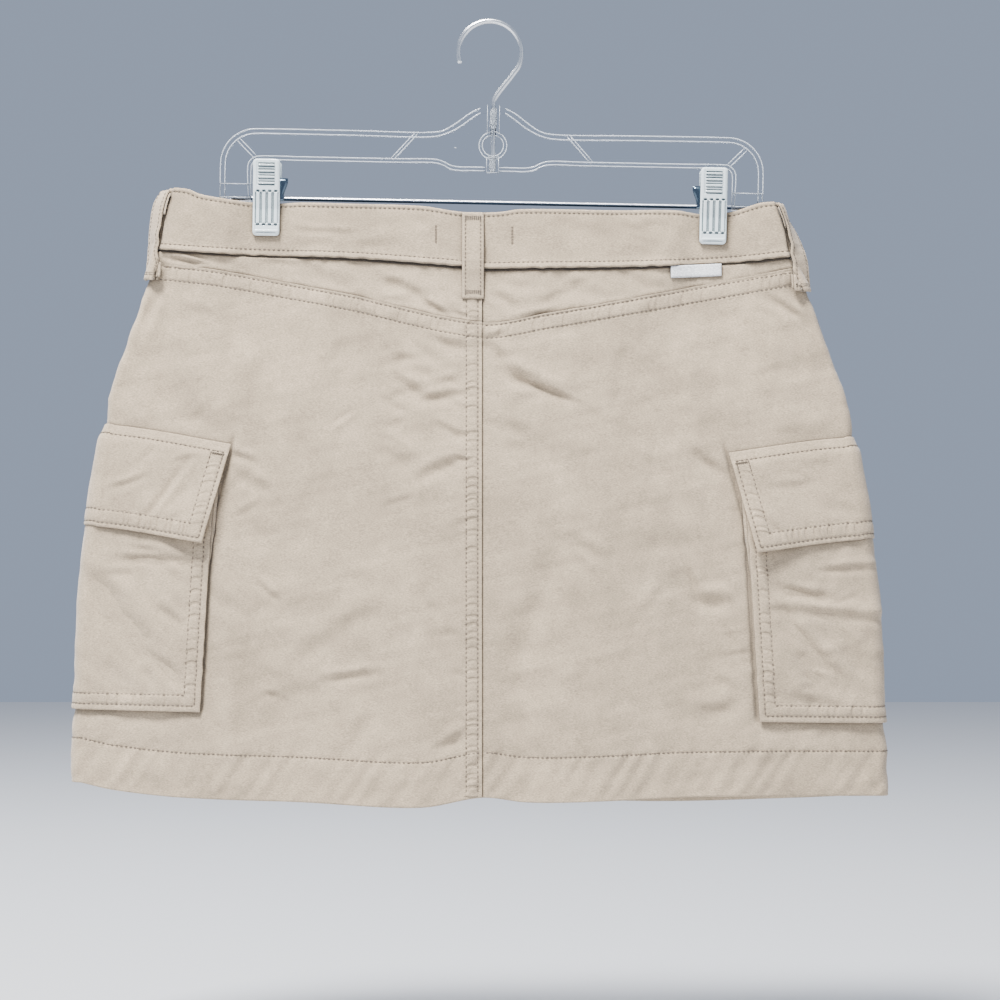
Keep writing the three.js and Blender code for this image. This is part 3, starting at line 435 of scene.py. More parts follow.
# The pocket's and flap's outlines on the panel, which keeps flat beneath them.
POCKET_EDGE = dict(h=[155, 220, 329], x=[168.5, 173.4, 179.8])
FLAP_EDGE = dict(h=[144, 155.5, 220], x=[157, 160, 177.6])
POCKET_BOTTOM = 329.0
PATCH_SHADE_DEPTH = 1.8
PATCH_SHADE_WIDTH = 1.2
pocket_edge_line = curve(POCKET_EDGE, "h", "x")
flap_edge = curve(FLAP_EDGE, "h", "x")


def pocket_edge(h):
    return pocket_edge_line(h) + 0.4 * wave(h, 13.0, 57)


def clear_of_pockets(x, h):
    """1 on the open panel, 0 under a pocket or flap."""
    beside = smooth(-3, 6, np.minimum(pocket_edge(h), flap_edge(h)) - np.abs(x))
    above = smooth(-2, 8, 146 - h)
    below = smooth(-2, 6, h - POCKET_BOTTOM)
    return np.maximum(beside, np.maximum(above, below))


def felled(s, along, seed, rows, edge_rise=EDGE_RISE):
    """Rise of a double-sewn lapped seam at distance s in from its edge."""
    first, last = rows
    rise = FELL_RISE * (1 - smooth(FELL_WIDTH - 3, FELL_WIDTH + 4, s))
    rise = rise + edge_rise * np.exp(-np.abs(s) / 1.3)
    middle = (first + last) / 2
    between = np.clip(1 - ((s - middle) / ((last - first) / 2)) ** 2, 0, 1)
    around = smooth(-1, first, s) * (1 - smooth(last + 1, last + 9, s))
    groove = -0.3 * (np.exp(-((s - first) / 0.7) ** 2) + np.exp(-((s - last) / 0.7) ** 2))
    return rise + groove + 0.2 * between + wave(along, 15.0, seed + 3) * 0.3 * around


def seam_puckers(s, along, seed, rows, pitch=PUCKER_PITCH, slant=-0.1, drawn=1.0):
    """Cross creases drawn up between two sewn rows, and the seam's end into the panel."""
    first, last = rows
    middle = (first + last) / 2
    between = np.clip(1 - ((s - middle) / ((last - first) / 2 + 0.6)) ** 2, 0, 1)
    crossing = along + 0.9 * np.sin((s - first) / (last - first) * np.pi) + slant * s
    beyond = smooth(first, last, s) * (1 - smooth(last, last + 3, s))
    ripple = puckers(crossing, pitch, seed, 0.75) * (0.95 * between**0.6 + 0.35 * beyond) * drawn
    return STRIP_LIFT + ripple - 0.55 * smooth(last + 1.2, last + 3.6, s)


def joined(*shells):
    """Points and faces of several closed sheets as one piece."""
    points = []
    faces = []
    for more, more_faces in shells:
        start = sum(len(part) for part in points)
        faces.extend([start + k for k in face] for face in more_faces)
        points.append(more)
    return np.concatenate(points), faces


def strip_shell(girth, h, out):
    return shell(wall(girth, h, out), wall(girth, h, out - STRIP_THICK), 0.2)


def edge_strip(girth, h, out, s, along, ends, seed, rows, pitch):
    """A fine strip along a double-sewn edge of a patch or flap, sunk at its two ends."""
    near = smooth(0, 4, np.minimum(along - ends[0], ends[1] - along))
    rise = seam_puckers(s, along, seed, rows, pitch) * near - 0.4 * (1 - near)
    turned = 0.3 * np.exp(-s / 0.5)
    return shell(wall(girth, h, out + rise - turned), wall(girth, h, out + rise - STRIP_THICK), 0.2)


def centre_strip(top, bottom, out_of, seed):
    """The centre back seam's folded allowance, fine enough for its puckers."""
    h, s = np.meshgrid(np.arange(top, bottom, STRIP_STEP), STRIP_COLUMNS, indexing="ij")
    girth = girth_at(-1, BACK_SEAM_X + 0.12 - s, h)
    return strip_shell(girth, h, out_of(girth, h) + seam_puckers(s, h, seed, FELL_ROWS))


def yoke_strip(side):
    """The turned top edge of a back panel, lapped over the yoke."""
    start = 0.1 / NOMINAL_REACH
    count = int(NOMINAL_REACH / STRIP_STEP)
    quarters = np.linspace(FOLD_PART, 1 - start, count)
    columns = quarters if side < 0 else 2 - quarters
    line = yoke_seam(place_across(columns))
    h = line[None] - 0.1 + STRIP_COLUMNS[::-1, None]
    girth = np.broadcast_to(columns, h.shape)
    x = skirt_x(girth, h)
    rise = seam_puckers(h - line, x, 12, YOKE_LAP_ROWS, **YOKE_PUCKERS)
    return strip_shell(girth, h, back_panel_out(girth, h) + rise - 0.03)


def under_lap(s):
    """The layer beneath a lapped seam dips under it: s is the distance out from the edge."""
    return -0.75 * (1 - smooth(-0.6, 1.6, s))


def hem_rise(above_hem, x, seed):
    """A turned-up hem: two layers to its sewn line, roped by the feed of the machine."""
    rise = 0.35 * (1 - smooth(HEM_DEEP - 0.6, HEM_DEEP + 1.2, above_hem))
    groove = -0.3 * np.exp(-((above_hem - HEM_DEEP) / 0.8) ** 2)
    inside = smooth(0, 5, above_hem) * (1 - smooth(HEM_DEEP - 2, HEM_DEEP + 6, above_hem))
    rope = wave(x - 0.62 * above_hem, 13.5, seed) * inside
    fine = puckers(x - 0.8 * above_hem, 9.5, seed + 1, 1.3) * inside * smooth(8, 24, above_hem)
    return rise + groove + 0.75 * rope + 0.35 * fine


def back_panel_out(girth, h):
    x = skirt_x(girth, h)
    f = place_across(girth)
    open_cloth = clear_of_pockets(x, h)
    left = x < BACK_SEAM_X
    from_seam = np.abs(x - BACK_SEAM_X)
    soft = CREASE_DEPTH * creases(BACK_CREASES, x, h) + 0.95 * crumple(x, 0.45 * h, 52, 5)
    soft += 0.5 * crumple(x, h, 21, 7) + 0.2 * crumple(x, h, 10, 6)
    near_seam = smooth(2, 22, from_seam)
    out = -0.05 + soft * open_cloth * (0.35 + 0.65 * near_seam)
    out += np.where(left, felled(from_seam, h, 11, FELL_ROWS), 0)
    out += np.where(left, 0, 0.16 * wave(h, 7.2, 11) * (1 - smooth(2, 9, from_seam)))
    out += felled(h - yoke_seam(f), x, 12, YOKE_LAP_ROWS, 0) * smooth(-0.5, 1.5, h - yoke_seam(f) + 2)
    out += hem_rise(back_hem(f) - h, x, 13) * smooth(0, 60, np.abs(x) + 40)
    patch_edge = np.where(h < 214, np.minimum(flap_edge(h), pocket_edge(h)), pocket_edge(h))
    beside_patch = np.exp(-((patch_edge - 0.2 - np.abs(x)) / PATCH_SHADE_WIDTH) ** 2)
    beside_patch *= smooth(146, 156, h) * (1 - smooth(POCKET_BOTTOM - 4, POCKET_BOTTOM + 2, h))
    out -= PATCH_SHADE_DEPTH * beside_patch
    return out


def new_material(name, roughness=0.5):
    """A fresh material and its surface shader."""
    material = bpy.data.materials.new(name)
    material.use_nodes = True
    surface = material.node_tree.nodes["Principled BSDF"]
    surface.inputs["Roughness"].default_value = roughness
    return material, surface


def patches(material, scale, detail=2.0, roughness=0.5, place=None):
    """An uneven tone through the object, finer as the scale grows."""
    nodes = material.node_tree.nodes
    noise = nodes.new("ShaderNodeTexNoise")
    noise.inputs["Scale"].default_value = scale
    noise.inputs["Detail"].default_value = detail
    noise.inputs["Roughness"].default_value = roughness
    if place is None:
        place = nodes.new("ShaderNodeTexCoord").outputs["Object"]
    material.node_tree.links.new(place, noise.inputs["Vector"])
    return noise.outputs["Fac"]


def openness(material, reach, rays):
    """1 where the surface is open within a reach in metres, less in a hollow."""
    hollow = material.node_tree.nodes.new("ShaderNodeAmbientOcclusion")
    hollow.samples = rays
    hollow.inputs["Distance"].default_value = reach
    return hollow.outputs["AO"]


def ranged(material, value, low, high, least=0.0, most=1.0):
    """From least to most as the value goes from low to high."""
    tones = material.node_tree.nodes.new("ShaderNodeMapRange")
    tones.inputs["From Min"].default_value = low
    tones.inputs["From Max"].default_value = high
    tones.inputs["To Min"].default_value = least
    tones.inputs["To Max"].default_value = most
    material.node_tree.links.new(value, tones.inputs["Value"])
    return tones.outputs["Result"]


def product(material, first, second):
    both = material.node_tree.nodes.new("ShaderNodeMath")
    both.operation = "MULTIPLY"
    material.node_tree.links.new(first, both.inputs[0])
    material.node_tree.links.new(second, both.inputs[1])
    return both.outputs["Value"]


def twill(name, tone, sheen=0.25):
    """Matt cotton twill: fine diagonal weave, faint worn mottling, and painted shade that darkens its
    hollows.
    """
    material, surface = new_material(name, 0.92)
    surface.inputs["Specular IOR Level"].default_value = 0.18
    surface.inputs["Sheen Weight"].default_value = sheen
    surface.inputs["Sheen Roughness"].default_value = 0.6
    nodes = material.node_tree.nodes
    link = material.node_tree.links.new
    place = nodes.new("ShaderNodeTexCoord").outputs["Object"]
    turned = nodes.new("ShaderNodeMapping")
    turned.inputs["Rotation"].default_value = (0, math.radians(38), 0)
    turned.inputs["Scale"].default_value = (1.0, 1.0, 3.2)
    link(place, turned.inputs["Vector"])
    weave = patches(material, 800, 3, place=turned.outputs["Vector"])
    worn = patches(material, 30, 6, 0.62, place=place)
    weave_tone = ranged(material, weave, 0.3, 0.7, 0.66, 1.26)
    worn_tone = ranged(material, worn, 0.3, 0.7, 0.85, 1.13)
    # Painted shade: the cloth's colour is darkened where nearby cloth hems it in, in creases, seam
    # grooves, under lapped edges and beside pockets and flaps.
    painted_hollow_shade = ranged(material, openness(material, 0.007, 6), 0.45, 0.97, 0.4, 1.04)
    painted_crevice_shade = ranged(material, openness(material, 0.0018, 4), 0.35, 0.85, 0.42)
    cloth_tone = product(material, weave_tone, worn_tone)
    shaded = product(material, cloth_tone, product(material, painted_hollow_shade, painted_crevice_shade))
    dyed = nodes.new("ShaderNodeVectorMath")
    dyed.operation = "SCALE"
    dyed.inputs[0].default_value = tone
    link(shaded, dyed.inputs["Scale"])
    link(dyed.outputs["Vector"], surface.inputs["Base Color"])
    bump = nodes.new("ShaderNodeBump")
    bump.inputs["Strength"].default_value = 0.5
    bump.inputs["Distance"].default_value = 0.0003
    link(weave, bump.inputs["Height"])
    link(bump.outputs["Normal"], surface.inputs["Normal"])
    return material


def sewing_thread(name, tone):
    material, surface = new_material(name, 0.7)
    surface.inputs["Base Color"].default_value = (*tone, 1)
    return material


PATH_STEP = 1.5
STITCH_PITCH = 3.05
STITCH_SHOWS = 2.0
THREAD_RADIUS = 0.31
STITCH_SIDES = 5
HOLE = dict(long=0.7, wide=0.5, deep=0.35, rise=0.22)


def stitch_places(paths, pitch):
    """Middle, direction and face normal of every stitch. A path is (points, normals), both
    in order, in millimetres."""
    middles, alongs, ups = [], [], []
    for points, normals in paths:
        gaps = np.linalg.norm(np.diff(points, axis=0), axis=1)
        run = np.concatenate([[0], np.cumsum(gaps)])
        count = max(1, int(run[-1] / pitch))
        at = (np.arange(count) + 0.5) * run[-1] / count
        where = np.stack([np.interp(at, run, points[:, k]) for k in range(3)], -1)
        ahead = np.stack([np.interp(at + 0.5, run, points[:, k]) for k in range(3)], -1)
        behind = np.stack([np.interp(at - 0.5, run, points[:, k]) for k in range(3)], -1)
        up = np.stack([np.interp(at, run, normals[:, k]) for k in range(3)], -1)
        along = ahead - behind
        middles.append(where)
        alongs.append(along / np.linalg.norm(along, axis=1, keepdims=True))
        ups.append(up / np.linalg.norm(up, axis=1, keepdims=True))
    return np.concatenate(middles), np.concatenate(alongs), np.concatenate(ups)


def needle_holes(middle, along, up, pitch):
    """A small pit where each stitch goes down, as points and faces. Its near-black colour is painted
    shade.
    """
    across = np.cross(along, up)
    centre = middle + along * pitch / 2 - up * THREAD_RADIUS
    places = [
        centre + along * HOLE["long"],
        centre + across * HOLE["wide"],
        centre - along * HOLE["long"],
        centre - across * HOLE["wide"],
        centre + up * HOLE["rise"],
        centre - up * HOLE["deep"],
    ]
    faces = []
    for k in range(4):
        faces.append((k, (k + 1) % 4, 4))
        faces.append(((k + 1) % 4, k, 5))
    faces = np.array(faces)[None] + (np.arange(len(middle)) * 6)[:, None, None]
    return np.stack(places, 1).reshape(-1, 3), faces.reshape(-1, 3)


def stitches(middle, along, up, shows, radius):
    """A short rounded length of thread at each stitch, as points and faces."""
    across = np.cross(along, up)
    rings = []
    for part, size, lift in ((-0.5, 0.0, -0.5), (-0.3, 1.0, 0.1), (0.3, 1.0, 0.1), (0.5, 0.0, -0.5)):
        centre = middle + along * shows * part + up * radius * lift
        if size == 0.0:
            rings.append(centre[:, None])
            continue
        angles = np.arange(STITCH_SIDES) * 2 * np.pi / STITCH_SIDES
        spread = np.cos(angles)[:, None] * across[:, None] + np.sin(angles)[:, None] * up[:, None]
        rings.append(centre[:, None] + spread * radius)
    points = np.concatenate(rings, 1)
    n = STITCH_SIDES
    faces = []
    for k in range(n):
        k2 = (k + 1) % n
        faces.append((0, 1 + k2, 1 + k))
        faces.append((1 + k, 1 + k2, 1 + n + k2))
        faces.append((1 + k, 1 + n + k2, 1 + n + k))
        faces.append((1 + n + k, 1 + n + k2, 1 + 2 * n))
    each = 2 + 2 * n
    faces = np.array(faces)[None] + (np.arange(len(middle)) * each)[:, None, None]
    return points.reshape(-1, 3), faces.reshape(-1, 3)


def seam_path(girth, h, out_of):
    """A line on the cloth for stitches to follow, just proud of its face."""
    out = out_of(girth, h) + 0.2
    return wall(girth, h, out), wall_normal(girth, h)


def sewn(name, paths, pitch=STITCH_PITCH, shows=STITCH_SHOWS, radius=THREAD_RADIUS):
    """One piece with a row of stitches and its needle holes along every path."""
    middle, along, up = stitch_places(paths, pitch)
    points, faces = stitches(middle, along, up, shows, radius)
    pits, pit_faces = needle_holes(middle, along, up, pitch)
    all_faces = faces.tolist() + (pit_faces + len(points)).tolist()
    row = mesh_piece(name, np.concatenate([points, pits]), all_faces, thread)
    row.data.materials.append(painted_hole_shade)
    which = [0] * len(faces) + [1] * len(pit_faces)
    row.data.polygons.foreach_set("material_index", which)
    return row


STONE = (0.50, 0.385, 0.26)
stone_twill = twill("stone cotton twill", STONE)
thread = sewing_thread("tan sewing thread", (0.17, 0.135, 0.1))
# Painted shade: the needle holes are coloured near black for the shade inside them.
painted_hole_shade = sewing_thread("needle hole", (0.09, 0.065, 0.04))

NOMINAL_REACH = 240.0
SEAM_COLUMNS = np.array([16, 14.6, 13.2, 12, 10.8, 9.6, 8.4, 7.2, 6, 4.8, 3.6, 2.6, 1.6, 0.8, 0.3, 0])
TOP_ROWS = [0, 0.3, 0.8, 1.6, 2.6, 3.8, 5, 6.2, 7.4, 8.6, 9.8, 11, 12.2, 13.4, 14.8]
STRIP_COLUMNS = np.array([
    14, 13.4, 12.8, 12.2, 11.6, 11, 10.6, 10.2, 9.9, 9.5, 9, 8.4, 7.8, 7.2, 6.6, 6, 5.4, 4.8, 4.2, 3.7,
    3.2, 2.8, 2.4, 2, 1.6, 1.2, 0.8, 0.4, 0.15, 0,
])
STRIP_STEP = 0.62
STRIP_THICK = 0.5
STRIP_LIFT = 0.06
HEM_ROWS = [
    33, 31.5, 30.4, 29.6, 29, 28.4, 27.6, 26, 24, 22, 20, 18, 16, 14, 12, 10, 8, 6, 4, 2.4, 1.2, 0.5, 0,
]


def panel_columns(flat_count, seam_columns):
    """Distances in from the fold, in quarters: the round fold, the flat, then by the seam."""
    fold = np.linspace(-SIDE_SEAM, FOLD_PART, 13)
    seam = 1 - seam_columns / NOMINAL_REACH * (1 - FOLD_PART)
    flat = np.linspace(FOLD_PART, seam[0], flat_count + 2)[1:-1]
    return np.concatenate([fold, flat, seam])


def back_columns(side):
    """Girth of each column of a back piece. The right one runs a little under the left."""
    quarters = panel_columns(186, SEAM_COLUMNS)
    if side > 0:
        quarters[-1] += 1.4 / NOMINAL_REACH
    return quarters if side < 0 else 2 - quarters


for side, name in SIDES:
    columns = back_columns(side)
    f = place_across(columns)
    h = heights(yoke_seam(f), back_hem(f), TOP_ROWS, 214, HEM_ROWS)
    girth = np.broadcast_to(columns, h.shape)
    out = back_panel_out(girth, h)
    if side > 0:
        out = out + under_lap(skirt_x(girth, h) - BACK_SEAM_X)
    outer = wall(girth, h, out)
    inner = wall(girth, h, np.minimum(out - CLOTH, -CLOTH + 0.2 * out))
    parts = [shell(outer, inner), yoke_strip(side)]
    if side < 0:
        parts.append(centre_strip(YOKE_POINT, SEAM_FOOT, back_panel_out, 11))
    points, faces = joined(*parts)
    panel = mesh_piece(f"back_panel_{name}", points, faces, stone_twill)
    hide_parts(f"back_{name}")


def upright_row(face, x, run_h, out_of):
    """A sewn row straight down one face."""
    return seam_path(girth_at(face, x + 0 * run_h, run_h), run_h, out_of)


def hem_rows(reaches, hem, out_of):
    """The sewn line of a turned-up hem, one row for each reach of girth."""
    rows = []
    for low, high in reaches:
        girth = np.linspace(low, high, 240)
        rows.append(seam_path(girth, hem(place_across(girth)) - HEM_DEEP, out_of))
    return rows


run_h = np.arange(76, 379, PATH_STEP)
run_x = np.arange(-232, 222, PATH_STEP)
rows = [upright_row(-1, BACK_SEAM_X - s, run_h, back_panel_out) for s in FELL_ROWS]
for drop in YOKE_LAP_ROWS:
    for part in (run_x[run_x < BACK_SEAM_X - 1], run_x[run_x > BACK_SEAM_X + 1]):
        start = girth_at(-1, part, 50.0)
        line = yoke_seam(place_across(start)) + drop
        keep = np.abs(part) < panel_reach(line) - 1
        girth = girth_at(-1, part[keep], line[keep])
        rows.append(seam_path(girth, line[keep], back_panel_out))
rows += hem_rows(((0.01, 0.997), (1.007, 1.99)), back_hem, back_panel_out)
sewn("back_panel_stitching", rows)

# Back yoke
# The V-shaped piece between waistband and back panels, also split at the centre back. Its
# lower edge lies inside the turned edge of the panels, its top inside the waistband.
YOKE_CREASES = [
    dict(x0=-35, h0=61, x1=-21, h1=67.5, wide=3, deep=1.1),
    dict(x0=-14, h0=68, x1=0, h1=71.5, wide=2, deep=0.8),
    dict(x0=-60, h0=45, x1=-34, h1=54, wide=5, deep=0.9),
    dict(x0=-44, h0=52, x1=-30, h1=60, wide=4, deep=0.5),
    dict(x0=4, h0=61, x1=10, h1=65, wide=3, deep=0.8),
    dict(x0=11, h0=55, x1=24, h1=60, wide=4.5, deep=0.9),
    dict(x0=24, h0=70, x1=47, h1=65.5, wide=3, deep=1.2),
    dict(x0=56, h0=44, x1=80, h1=52, wide=6, deep=0.6),
    dict(x0=-200, h0=34, x1=-182, h1=38.5, wide=2.4, deep=1.0),
    dict(x0=-196, h0=31, x1=-180, h1=35, wide=1.8, deep=-0.5),
    dict(x0=-110, h0=38, x1=-84, h1=47, wide=6, deep=0.5),
    dict(x0=96, h0=38, x1=118, h1=47, wide=6, deep=0.5),
]
YOKE_SEAM_TOP = 37.5
BAND_SHADE_DEPTH = 1.5
YOKE_TOP_ROWS = [0, 0.5, 1, 1.5, 2.1, 2.8]
YOKE_FOOT_ROWS = [3.4, 2.4, 1.8, 1.2, 0.5, 0]
YOKE_CREASES += small_creases((-66, -14), (42, 64), 8, 81, angle=18, spread=25)
YOKE_CREASES += small_creases((6, 60), (42, 64), 6, 82, angle=-14, spread=25)
YOKE_CREASES += small_creases((-200, -80), (33, 46), 6, 83, angle=14, spread=15)
YOKE_CREASES += small_creases((80, 190), (33, 46), 6, 84, angle=-14, spread=15)


def yoke_out(girth, h):
    x = skirt_x(girth, h)
    f = place_across(girth)
    left = x < BACK_SEAM_X
    from_seam = np.abs(x - BACK_SEAM_X)
    above_panel = yoke_seam(f) - h
    below_band = h - back_band_seam(f)
    soft = CREASE_DEPTH * creases(YOKE_CREASES, x, h)
    soft = soft + 0.4 * crumple(x, h, 30, 8) + 0.2 * crumple(x, h, 12, 9)
    soft = soft * smooth(-1, 5, above_panel) * smooth(-1, 5, below_band)
    out = -0.05 + soft * (0.35 + 0.65 * smooth(2, 16, from_seam))
    out += np.where(left, felled(from_seam, h, 11, FELL_ROWS), 0)
    out += 0.2 * wave(x, 7.2, 12) * (1 - smooth(1, 9, above_panel))
    out += 0.2 * wave(x, 8.3, 14) * (1 - smooth(1, 10, below_band))
    out -= BAND_SHADE_DEPTH * (1 - smooth(0.4, 1.8, below_band))
    return out + under_lap(above_panel) * 0.5


for side, name in SIDES:
    columns = back_columns(side)
    f = place_across(columns)
    h = heights(back_band_seam(f) - 0.4, yoke_seam(f) + 1.6, YOKE_TOP_ROWS, 22, YOKE_FOOT_ROWS)
    girth = np.broadcast_to(columns, h.shape)
    out = yoke_out(girth, h)
    if side > 0:
        out = out + 1.5 * under_lap(skirt_x(girth, h) - BACK_SEAM_X)
    parts = [shell(wall(girth, h, out), wall(girth, h, out - CLOTH))]
    if side < 0:
        parts.append(centre_strip(YOKE_SEAM_TOP, YOKE_POINT, yoke_out, 11))
    points, faces = joined(*parts)
    yoke = mesh_piece(f"yoke_back_{name}", points, faces, stone_twill)
    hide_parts(f"back_yoke_{name}")

run_h = np.arange(40, 73, PATH_STEP)
rows = [upright_row(-1, BACK_SEAM_X - s, run_h, yoke_out) for s in FELL_ROWS]
sewn("back_yoke_stitching", rows)

# Front panels
# The hidden face, cut like the back but without a yoke, from waistband to hem. They meet at
# the centre front, where the fly's facing is caught by the curved double row on the left.
FRONT_SMALL_CREASES = [
    dict(x=(-200, -20), h=(70, 190), count=16),
    dict(x=(20, 200), h=(70, 190), count=16),
    dict(x=(-150, 150), h=(200, 345), count=18),
]
FRONT_BAND_SEAM = dict(f=[-1, -0.7, -0.35, 0, 0.35, 0.7, 1], h=[30, 37, 42.5, 46, 42.5, 36.5, 27.7])
FRONT_HEM = dict(f=[-1, -0.8, -0.3, 0, 0.45, 0.8, 1], h=[376.5, 380, 383, 384, 384.5, 380, 376.1])
FRONT_CREASES = [
    dict(x0=-60, h0=66, x1=-24, h1=84, wide=7, deep=1.0),
    dict(x0=26, h0=60, x1=62, h1=76, wide=6, deep=0.9),
    dict(x0=-150, h0=60, x1=-132, h1=118, wide=14, deep=1.1),
    dict(x0=146, h0=60, x1=130, h1=124, wide=14, deep=1.1),
    dict(x0=-96, h0=130, x1=-60, h1=148, wide=8, deep=0.8),
    dict(x0=84, h0=152, x1=118, h1=138, wide=8, deep=0.8),
    dict(x0=-140, h0=190, x1=-112, h1=214, wide=10, deep=0.8),
    dict(x0=126, h0=206, x1=152, h1=226, wide=10, deep=0.9),
    dict(x0=-40, h0=236, x1=-16, h1=222, wide=7, deep=0.7),
    dict(x0=22, h0=262, x1=52, h1=250, wide=8, deep=0.7),
    dict(x0=-150, h0=290, x1=-128, h1=312, wide=9, deep=0.8),
    dict(x0=96, h0=304, x1=130, h1=296, wide=7, deep=0.8),
    dict(x0=-206, h0=92, x1=-184, h1=122, wide=12, deep=0.9),
    dict(x0=204, h0=90, x1=186, h1=126, wide=12, deep=0.9),
]
for patch in FRONT_SMALL_CREASES:
    FRONT_CREASES += small_creases(
        patch["x"], patch["h"], patch["count"], 97 + patch["count"], spread=60, long=(10, 24), wide=(3, 5))
front_band_seam = curve(FRONT_BAND_SEAM, "f", "h")
front_hem = curve(FRONT_HEM, "f", "h")


def front_panel_out(girth, h):
    x = skirt_x(girth, h)
    f = place_across(girth)
    from_seam = np.abs(x)
    soft = CREASE_DEPTH * creases(FRONT_CREASES, x, h) + 0.75 * crumple(x, 0.45 * h, 52, 25)
    soft += 0.34 * crumple(x, h, 21, 27) + 0.1 * crumple(x, h, 9, 26)
    near_seam = smooth(0, 20, from_seam)
    out = -0.05 + soft * clear_of_pockets(x, h) * (0.3 + 0.7 * near_seam)
    out += np.where(x < 0, 0.4 * (1 - smooth(2, 6, from_seam)), 0)
    out += 0.14 * wave(h, 7.5, 21) * (1 - smooth(1, 8, from_seam))
    out += 0.14 * wave(x, 6.3, 24) * (1 - smooth(1, 8, h - front_band_seam(f)))
    out += hem_rise(front_hem(f) - h, x, 23)
    return out


FRONT_SEAM_COLUMNS = np.array([10, 8, 6.5, 5.3, 4.2, 3.2, 2.4, 1.6, 0.9, 0.4, 0])
for side, name in SIDES:
    quarters = panel_columns(72, FRONT_SEAM_COLUMNS)
    quarters = quarters[quarters >= SIDE_SEAM - 0.001]
    quarters[-1] += (0.8 if side > 0 else -0.1) / NOMINAL_REACH
    columns = 2 + quarters if side > 0 else 4 - quarters
    f = place_across(columns)
    h = heights(front_band_seam(f) - 0.4, front_hem(f), [0, 0.6, 1.4, 2.4], 100, HEM_ROWS)
    girth = np.broadcast_to(columns, h.shape)
    out = front_panel_out(girth, h)
    if side > 0:
        out = out + under_lap(skirt_x(girth, h) + 0.2)
    inner = wall(girth, h, np.minimum(out - CLOTH, -CLOTH + 0.2 * out))
    points, faces = shell(wall(girth, h, out), inner)
    panel = mesh_piece(f"front_panel_{name}", points, faces, stone_twill)
    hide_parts(f"front_{name}")

rows = hem_rows(((2.01, 2.993), (3.004, 3.99)), front_hem, front_panel_out)
run_h = np.arange(48, 352, PATH_STEP)
rows.append(upright_row(1, -2.2, run_h, front_panel_out))
FLY_WIDTH = 34.0
FLY_TURN = 176.0
FLY_CURVE = 28.0
for inset in (0.0, 6.0):
    straight = np.arange(47, FLY_TURN, PATH_STEP)
    bend = np.linspace(0, np.pi / 2, 24)
    fly_x = np.concatenate([0 * straight + FLY_WIDTH - inset, (FLY_WIDTH - inset) * np.cos(bend)])
    fly_h = np.concatenate([straight, FLY_TURN + (FLY_CURVE - inset) * np.sin(bend)])
    keep = fly_x > 3
    girth = girth_at(1, -fly_x[keep], fly_h[keep])
    rows.append(seam_path(girth, fly_h[keep], front_panel_out))
sewn("front_panel_stitching", rows)

# Waistband
# One straight strip folded over at the top, its ends lapping at the centre front. It is sewn
# on over the yoke and front panels, with a row near each edge and a short tack either side
# of the back loop.
BAND_OUT = 0.5
BAND_THICK = 1.8
UNDERLAP = 0.17
UNDERLAP_DROP = 2.45
BAND_ROWS = (2.4, 3.8)
LOOP_PRESS = 2.0
BAND_PROUD = 1.6
BACK_TOP = dict(
    f=[-1, -0.96, -0.91, -0.85, -0.76, -0.68, -0.57, -0.41, -0.18, -0.05,
       0.07, 0.15, 0.46, 0.66, 0.75, 0.82, 0.86, 0.92, 0.96, 1],
    h=[-10.3, -9.5, -6.3, -4.4, -2.2, -1.2, -2, -1.8, -1.1, 2.2,
       2.0, -0.2, -0.5, -1.2, 0.8, -0.3, -1.5, -5.1, -7.2, -8],
)
# The side loops by height: where each strap's back edge and outer edge stand.
LEFT_LOOP = dict(h=[-8.5, 0, 14, 28, 40, 50], back=[200.4, 203.6, 206.2, 208, 207.4, 208],
                 outer=[206.5, 211.5, 214, 215, 216, 217])
RIGHT_LOOP = dict(h=[-6.5, 3, 13, 28, 40, 50], back=[193.8, 197.6, 200.4, 202.6, 203.6, 204.4],
                  outer=[197, 200.6, 206.6, 212.8, 214.4, 215.2])
FRONT_TOP = dict(
    f=[-1, -0.93, -0.83, -0.7, -0.35, 0, 0.35, 0.7, 0.86, 0.94, 1],
    h=[-10.3, -6, 0, 1.5, 5.5, 8.5, 5.5, 2, 0.8, -4.5, -8],
)
BAND_CREASES = [
    dict(x0=-118, h0=14, x1=-84, h1=16.5, wide=2.6, deep=0.7),
    dict(x0=-126, h0=21, x1=-100, h1=25, wide=5, deep=0.5),
    dict(x0=-28.5, h0=9, x1=-28, h1=25, wide=2.2, deep=0.3),
    dict(x0=22, h0=9, x1=22, h1=25, wide=2.2, deep=0.3),
    dict(x0=-176, h0=3, x1=-168, h1=24, wide=6, deep=0.7),
    dict(x0=167, h0=4, x1=176, h1=26, wide=6, deep=0.8),
    dict(x0=60, h0=8, x1=90, h1=14, wide=6, deep=0.4),
    dict(x0=-78, h0=24, x1=-50, h1=20, wide=5, deep=0.4),
]
BAND_CREASES += small_creases((-190, -30), (4, 26), 9, 91, spread=30)
BAND_CREASES += small_creases((30, 190), (4, 26), 9, 92, spread=30)
back_top = curve(BACK_TOP, "f", "h")
front_top = curve(FRONT_TOP, "f", "h")


def band_edges(girth):
    f = place_across(girth)
    on_back = (girth >= 0) & (girth <= 2)
    top = np.where(on_back, back_top(f), front_top(f))
    bottom = np.where(on_back, back_band_seam(f), front_band_seam(f))
    return top, bottom


def loop_press(girth, h):
    """A narrow hollow where a side loop's back edge draws the band in."""
    x = skirt_x(girth, h)
    left_edge = curve(LEFT_LOOP, "h", "back")(h)
    right_edge = curve(RIGHT_LOOP, "h", "back")(h)
    away = np.where(x < 0, -x - left_edge, x - right_edge)
    on_back = (girth > 0) & (girth < 2)
    return np.where(on_back, -LOOP_PRESS * np.exp(-((away + 0.5) / 1.1) ** 2), 0)


